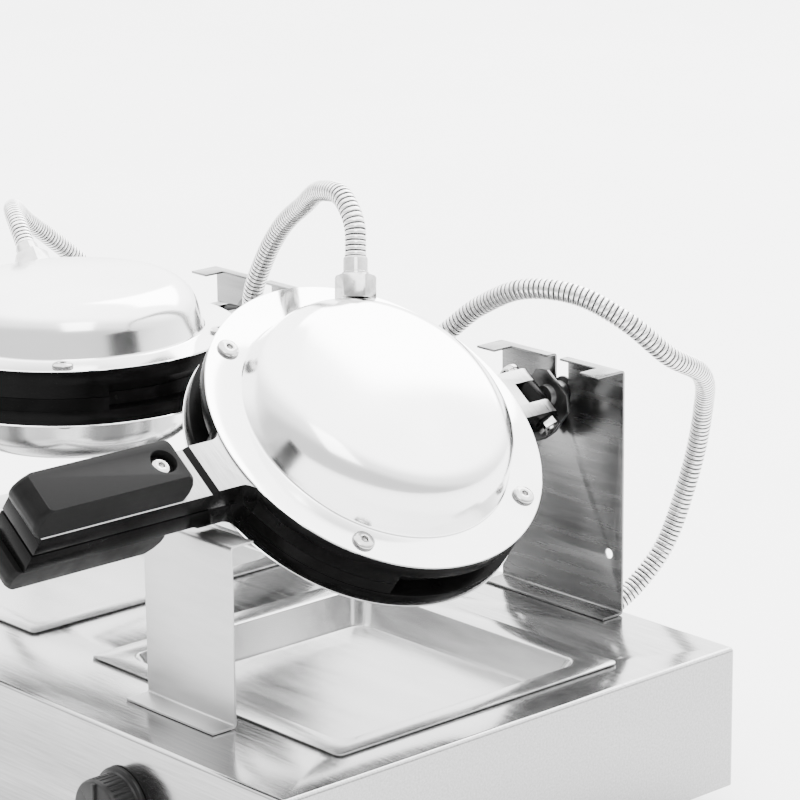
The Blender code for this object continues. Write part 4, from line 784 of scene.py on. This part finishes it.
def machined(spot, normal):
    """The bare metal on top of a casting's boss, grip seat and hinge ears."""
    margin, facing = 0.001, 0.9
    seat = -BOSS_END < spot.y < margin - CASTING_RIM or spot.y < -BOSS_END - STEP_RUN
    ear = spot.y > WAIST_RADIUS and (abs(spot.x) > EAR_INNER or spot.y < WEB_END)
    seat_high, ear_high = abs(spot.z) > SEAT_Z - margin, spot.z > EAR_RADIUS - 2 * margin
    return abs(normal.z) > facing and ((seat_high and seat) or (ear_high and ear))


def screw_side(spot, normal):
    """The side of a screw's head, given darker steel as painted shade below its lit top."""
    steep, past_socket = 0.4, 0.005
    return abs(normal.z) < steep and math.hypot(spot.x, spot.y) > past_socket


def flange(spot, normal):
    """A cover's flat flange and its rim."""
    ease = 0.0002
    return math.hypot(spot.x, spot.y) > DOME_RADIUS + ease and abs(spot.z) < COVER_TOP + 3 * ease


def make_heads():
    """Both heads: two halves each with cover, grip, screws and hose nut, then bolt and swivel plate."""
    meshes = {"cover": cover_mesh(), "screw": screw_mesh(), "grip": grip_mesh(), "gland": gland_mesh(),
              "bolt": hinge_bolt_mesh(), "swivel": swivel_mesh()}
    castings = {level: casting_mesh(level) for level in SIDES}
    seat = Matrix.Translation((0, GRIP_SCREW_Y, GRIP_SCREW_Z + FIT_GAP))
    for side in HEADS:
        place, head, lid = head_place(side), f"{side}_head", f"{side}_lid"
        for level, flip in SIDES.items():
            body, label, half = (lid if level == "upper" else head), f"{side}_{level}", place @ flip
            show(f"{label}_mould", castings[level], "cast", body, place, [f"{label}_casting"], sharp=34,
                 second=("machined", machined))
            show(f"{label}_dome", meshes["cover"], "mirror", body, half, [f"{label}_cover"], sharp=30,
                 second=("flange", flange))
            show(f"{label}_handle", meshes["grip"], "grip", body, half, [f"{label}_grip"], sharp=40)
            show(f"{label}_handle_screw", meshes["screw"], "fastener", body, half @ seat,
                 [f"{label}_grip_screw"])
            show(f"{label}_hose_nut", meshes["gland"], "fastener", body, place @ gland_frame(level),
                 [f"{label}_gland"], sharp=25)
            for number, angle in enumerate(SCREW_ANGLES):
                spot = Matrix.Translation((SCREW_CIRCLE * math.cos(angle), SCREW_CIRCLE * math.sin(angle),
                                           COVER_TOP + FIT_GAP / 3))
                nodes = [f"{side}_cover_screw_{number + 1}"] if level == "upper" else []
                # Each screw head's sides take darker steel as painted shade
                show(f"{label}_flange_screw_{number + 1}", meshes["screw"], "fastener", body,
                     half @ spot @ Matrix.Rotation(angle * 3, 4, "Z"), nodes, second=("rim", screw_side))
        show(f"{side}_hinge_pin", meshes["bolt"], "fastener", head, place, [f"{side}_hinge_bolt"], sharp=30)
        show(f"{side}_swivel", meshes["swivel"], "plate", head, place, [f"{side}_swivel_bracket"],
             sharp=30)


# What stands on the deck, and the base


def bent(corners, sheet, radius, steps=6):
    """The closed section of a sheet through corner points of y and z, its bends rounded."""
    spots = [Vector(p) for p in corners]
    line = [spots[0]]
    for before, corner, after in zip(spots, spots[1:], spots[2:]):
        one, two = (before - corner).normalized(), (after - corner).normalized()
        start, end = corner + one * radius, corner + two * radius
        for k in range(steps + 1):
            t = k / steps
            line.append(start * (1 - t) ** 2 + corner * 2 * t * (1 - t) + end * t * t)
    line.append(spots[-1])
    sides = []
    for sign in (1, -1):
        row = []
        for k, spot in enumerate(line):
            ahead = (line[min(k + 1, len(line) - 1)] - line[max(k - 1, 0)]).normalized()
            row.append(tuple(spot + Vector((-ahead.y, ahead.x)) * sign * sheet / 2))
        sides.append(row)
    return sides[0] + sides[1][::-1]


def stand_section(face, foot, top, end, bend):
    """The section of a sheet that stands on the deck, with a foot and a flange at its top."""
    skin = STAND_SHEET / 2
    low, middle, high = DECK_Z + FIT_GAP + skin, face + skin, top - skin
    return bent(((face - foot, low), (middle, low), (middle, high), (end, high)), STAND_SHEET, bend)


def bracket_mesh():
    """The rear bracket with its open slot and two holes, its top flange cut back between two tabs."""
    half, foot, flange_reach, top = 0.0543, 0.0165, 0.0224, AXIS_Z + 0.0244
    tab, tab_start, notch = 0.0158, 0.0074, 0.006
    slot, hole, hole_x, hole_z, hole_sides = 0.0056, 0.00325, 0.0425, AXIS_Z - 0.0977, 32
    end, above = BRACKET_FRONT - flange_reach, top + OVERRUN
    before, behind = BRACKET_FRONT - OVERRUN, BRACKET_FRONT + STAND_SHEET + OVERRUN
    opening = [(-slot, above), *arc(slot, (0, AXIS_Z), math.pi, 2 * math.pi, ROUND // 2), (slot, above)]
    cuts = [block((tab - half, end - OVERRUN, top - notch), (half - tab, BRACKET_FRONT - tab_start, above)),
            along(opening, end - OVERRUN, behind)]
    cuts += [along(circle(hole, hole_sides, (sign * hole_x, hole_z)), before, behind) for sign in (-1, 1)]
    section = stand_section(BRACKET_FRONT, foot, top, end, 0.002)
    return shell([across(section, -half, half)], cuts=cuts, bevel=0.00025, angle=40)


def rest_mesh():
    """The handle rest, whose flange lies just under the turning boss."""
    half, face, foot, flange_reach, clear = 0.0405, -0.1381, 0.0165, 0.017, 0.001
    top = AXIS_Z - math.hypot(BOSS_HALF, CASTING_TOP) - clear
    section = stand_section(face, foot, top, face + flange_reach, 0.0022)
    return shell([across(section, -half, half)], bevel=0.00025, angle=40)


def tray_mesh():
    """The drip tray: a wide rim on the deck, sloping walls and a flat floor."""
    low = DECK_Z + FIT_GAP
    high, floor, rim = low + TRAY_SHEET, low + TRAY_SHEET - TRAY_DEPTH, TRAY_RIM

    def ring(inset, corner, z):
        corners = (inset - TRAY_HALF, inset - TRAY_FRONT), (TRAY_HALF - inset, TRAY_REAR - inset)
        return rounded(*corners, corner, 8), z

    # Inset, corner radius and height of each ring: down the inside to the floor, and back underneath
    inside = [ring(0.0, 0.004, low), ring(0.0, 0.004, high), ring(rim - 0.001, 0.012, high),
              ring(rim + 0.0006, 0.0115, high - 0.0006), ring(rim + 0.0012, 0.011, high - 0.0016),
              ring(rim + 0.0095, 0.010, floor + 0.0035), ring(rim + 0.0110, 0.0095, floor + 0.0016),
              ring(rim + 0.0135, 0.009, floor + 0.001)]
    under = [ring(rim + 0.0135, 0.009, floor), ring(rim + 0.0100, 0.010, floor + 0.0004),
             ring(rim + 0.0085, 0.011, floor + 0.003), ring(rim + 0.0002, 0.0125, high - 0.0022),
             ring(rim, 0.013, low)]

    def add(bm):
        top, bottom = [[[bm.verts.new((x, y, z)) for x, y in outline] for outline, z in levels]
                       for levels in (inside, under)]
        for rings in (top, bottom):
            for near, far in zip(rings, rings[1:]):
                bridge(bm, near, far)
        bridge(bm, bottom[-1], top[0])
        bm.faces.new(top[-1])
        bm.faces.new(bottom[0])

    return shell([add], bevel=0.0002, angle=40)


def housing_mesh():
    """The folded box with its rounded edges and every cut-out."""
    low, high, sheet = FOOT_HEIGHT, DECK_Z, HOUSING_SHEET
    corner, least_corner, fold, steps = 0.0035, 0.001, 0.0028, 6
    spindle_hole, rear_hole, rocker_half, rocker_rise = 0.0033, 0.0045, 0.0087, 0.0131
    front_wall = (-HOUSING_FRONT - OVERRUN, -HOUSING_FRONT + sheet + OVERRUN)
    rear_wall = (HOUSING_REAR - sheet - OVERRUN, HOUSING_REAR + OVERRUN)

    def outline(inset, z):
        near = (inset - HOUSING_HALF, inset - HOUSING_FRONT)
        far = (HOUSING_HALF - inset, HOUSING_REAR - inset)
        return rounded(near, far, max(corner - inset, least_corner)), z

    levels = [outline(0.0, low)]
    levels += [outline(inset, z) for inset, z in quarter((0.0, high - fold), (fold, high), steps)]
    cuts = [block((-HOUSING_HALF + sheet, -HOUSING_FRONT + sheet, low - OVERRUN),
                  (HOUSING_HALF - sheet, HOUSING_REAR - sheet, high - sheet))]
    under_rim = TRAY_RIM - FIT_GAP
    half, near, far = TRAY_HALF - under_rim, under_rim - TRAY_FRONT, TRAY_REAR - under_rim
    for x, _ in HEADS.values():
        hole = rounded((x - half, near), (x + half, far), TRAY_HOLE_CORNER)
        cuts.append(lift(hole, high - sheet - OVERRUN, high + OVERRUN))
        cuts.append(along(circle(spindle_hole, SMALL, (x, CONTROL_Z)), *front_wall))
        for gland in GLAND_X.values():
            cuts.append(along(circle(rear_hole, SMALL, (x + gland, REAR_GLAND_Z)), *rear_wall))
    cuts.append(along(circle(rear_hole, SMALL, (LEAD_GLAND_X, REAR_GLAND_Z)), *rear_wall))
    cuts.append(block((-rocker_half, front_wall[0], CONTROL_Z - rocker_rise),
                      (rocker_half, front_wall[1], CONTROL_Z + rocker_rise)))
    return shell([stack(levels)], cuts=cuts, bevel=0.0002, angle=60)


def knob_mesh():
    """A knob with a skirt, fine grip ribs round its side and a raised pointer."""
    front, socket_radius, socket_floor, sides, groove_sides = -0.020, 0.0033, -0.0125, 96, 10
    body = ((0, front), (0.0185, front), (0.0199, front + 0.0004), (0.0207, front + 0.0014),
            (0.021, front + 0.003), (0.021, -0.0042), (0.0216, -0.0032), (0.0236, -0.0022), (0.024, -0.0014),
            (0.024, 0), (0, 0))
    pointer_half, pointer_rise, pointer_low, pointer_high = 0.0012, 0.0016, 0.001, 0.0194
    pointer = block((-pointer_half, front - pointer_rise, pointer_low),
                    (pointer_half, front + pointer_rise, pointer_high))
    count, groove_radius, groove_circle, groove_start, groove_end = 36, 0.0011, 0.0217, front + 0.003, -0.005
    grooves = []
    for k in range(count):
        t = 2 * math.pi * (k + 0.5) / count
        centre = (groove_circle * math.cos(t), groove_circle * math.sin(t))
        grooves.append(along(circle(groove_radius, groove_sides, centre), groove_start, groove_end))
    socket = along(circle(socket_radius, SMALL), socket_floor, OVERRUN)
    return shell([turned(body, sides, TO_Y)], [pointer], [grooves, socket], bevel=0.00025, angle=40)


def make_station():
    """What each head has on the deck and the front: bracket, handle rest, drip tray and knob."""
    meshes = {"rear_bracket": bracket_mesh(), "handle_rest": rest_mesh(), "drip_tray": tray_mesh()}
    knob = knob_mesh()
    for side, (x, _) in HEADS.items():
        place = BASE @ Matrix.Translation((x, 0, 0))
        # The bracket's dark steel is painted shade for the dark surroundings it reflects
        show(f"{side}_bracket_sheet", meshes["rear_bracket"], "bracket", "base", place,
             [f"{side}_rear_bracket"], sharp=30)
        show(f"{side}_rest_sheet", meshes["handle_rest"], "rest", "base", place,
             [f"{side}_handle_rest"], sharp=30)
        tray = show(f"{side}_tray_pan", meshes["drip_tray"], "sheet", f"{side}_tray", place,
                    [f"{side}_drip_tray"], sharp=30)
        front = BASE @ Matrix.Translation((x, -HOUSING_FRONT - FIT_GAP, CONTROL_Z))
        show(f"{side}_dial", knob, "control", f"{side}_knob", front, [f"{side}_thermostat_knob"],
             sharp=30)


def make_base():
    """The housing, its feet, and what stands on its rear wall."""
    show("housing_box", housing_mesh(), "brushed", "base", BASE, ["base_housing"], sharp=30)
    section = ((0, 0), (0.0112, 0), (0.0119, 0.0006), (0.0148, 0.0168), (0.0142, 0.0177), (0, 0.0177))
    foot = shell([turned(section, SMOOTH)])
    for row, y in (("front", -FOOT_FRONT), ("rear", FOOT_REAR)):
        for end, x in (("left", -FOOT_X), ("right", FOOT_X)):
            spot = BASE @ Matrix.Translation((x, y, 0))
            show(f"{row}_{end}_pad", foot, "rubber", "base", spot, [f"{row}_{end}_foot"])
    places = [x + gland for x, _ in HEADS.values() for gland in GLAND_X.values()]
    wall = HOUSING_REAR + FIT_GAP
    panel = block((min(places) - PANEL_EDGE, wall, REAR_GLAND_Z - PANEL_EDGE),
                  (max(places) + PANEL_EDGE, wall + PANEL_SHEET, REAR_GLAND_Z + PANEL_EDGE))
    plate = shell([panel], bevel=0.0006, segments=3)
    made = show("hose_panel", plate, "sheet", "base", BASE, ["gland_panel"], sharp=30)
    nut = gland_mesh()
    for number, x in enumerate(places):
        spot = BASE @ panel_frame(x) @ Matrix.Translation((0, 0, PANEL_SHEET / 2))
        show(f"panel_nut_{number + 1}", nut, "fastener", "base", spot, sharp=25)
    relief = ((0.0045, 0), (0.012, 0), (0.012, 0.0105), (0.0112, 0.0112), (0.0094, 0.0124), (0.0092, 0.0192),
              (0.0084, 0.0208), (0.0064, 0.022), (0.0045, 0.022))
    show("lead_gland", shell([turned(relief, SMOOTH)], bevel=0.0002), "control", "base",
         BASE @ panel_frame(LEAD_GLAND_X), ["cord_gland"], sharp=30)


def finish_kept_nodes():
    """Gives the solids that stay as they are their finish."""
    kept = {"base_plate": "brushed", "switch_housing": "control", "switch_rocker": "control"}
    for side in HEADS:
        kept[f"{side}_thermostat"] = "ceramic"
        for level in SIDES:
            kept[f"{side}_{level}_heating_element"] = "heater"
    for name, finish in kept.items():
        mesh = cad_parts[name].data
        mesh.materials.clear()
        mesh.materials.append(LOOKS[finish])


# Floor and light


def make_floor():
    """A pale floor that reaches far past the picture."""
    reach = 20.0
    corners = [(-reach, -reach, 0), (reach, -reach, 0), (reach, reach, 0), (-reach, reach, 0)]
    floor = bpy.data.meshes.new("floor")
    floor.from_pydata(corners, [], [(0, 1, 2, 3)])
    floor.materials.append(look("floor_paint", grey(0.86), grey(0.90), (0.55, 0.65), 0.0, 3))
    add_object("floor", floor)


def make_sky():
    """A pale studio, brightest from above and a little from the rear and the left."""
    brightest, strength = (-0.30, 0.42, 0.86), 7.5
    dark, middle, light = (0.0, 0.22), (0.30, 0.46), (0.70, 1.0)
    world = bpy.data.worlds.new("studio")
    bpy.context.scene.world = world
    world.use_nodes = True
    nodes, links = world.node_tree.nodes, world.node_tree.links
    place = nodes.new("ShaderNodeTexCoord")
    towards = nodes.new("ShaderNodeVectorMath")
    towards.operation = "DOT_PRODUCT"
    towards.inputs[1].default_value = brightest
    shades = nodes.new("ShaderNodeValToRGB")
    ramp = shades.color_ramp
    ramp.interpolation = "EASE"
    ramp.elements[0].position, ramp.elements[0].color = dark[0], (*grey(dark[1]), 1)
    ramp.elements[1].position, ramp.elements[1].color = light[0], (*grey(light[1]), 1)
    ramp.elements.new(middle[0]).color = (*grey(middle[1]), 1)
    links.new(place.outputs["Generated"], towards.inputs[0])
    links.new(towards.outputs["Value"], shades.inputs["Fac"])
    links.new(shades.outputs["Color"], nodes["Background"].inputs["Color"])
    nodes["Background"].inputs["Strength"].default_value = strength


def make_lamps():
    """Two soft square lamps, by name, place, size and power."""
    lamps = (("key", (1.6, -1.0, 2.2), 1.2, 30), ("back", (-0.8, 2.6, 2.6), 2.4, 160))
    aim = Vector((0.1, 0.0, 0.2))
    for name, spot, size, power in lamps:
        data = bpy.data.lights.new(name, "AREA")
        data.shape, data.size, data.energy = "SQUARE", size, power
        lamp = add_object(name, data)
        lamp.location = spot
        lamp.rotation_mode = "QUATERNION"
        lamp.rotation_quaternion = (aim - Vector(spot)).to_track_quat("-Z", "Y")


set_camera()
make_hoses()
make_heads()
make_station()
make_base()
finish_kept_nodes()
make_floor()
make_sky()
make_lamps()
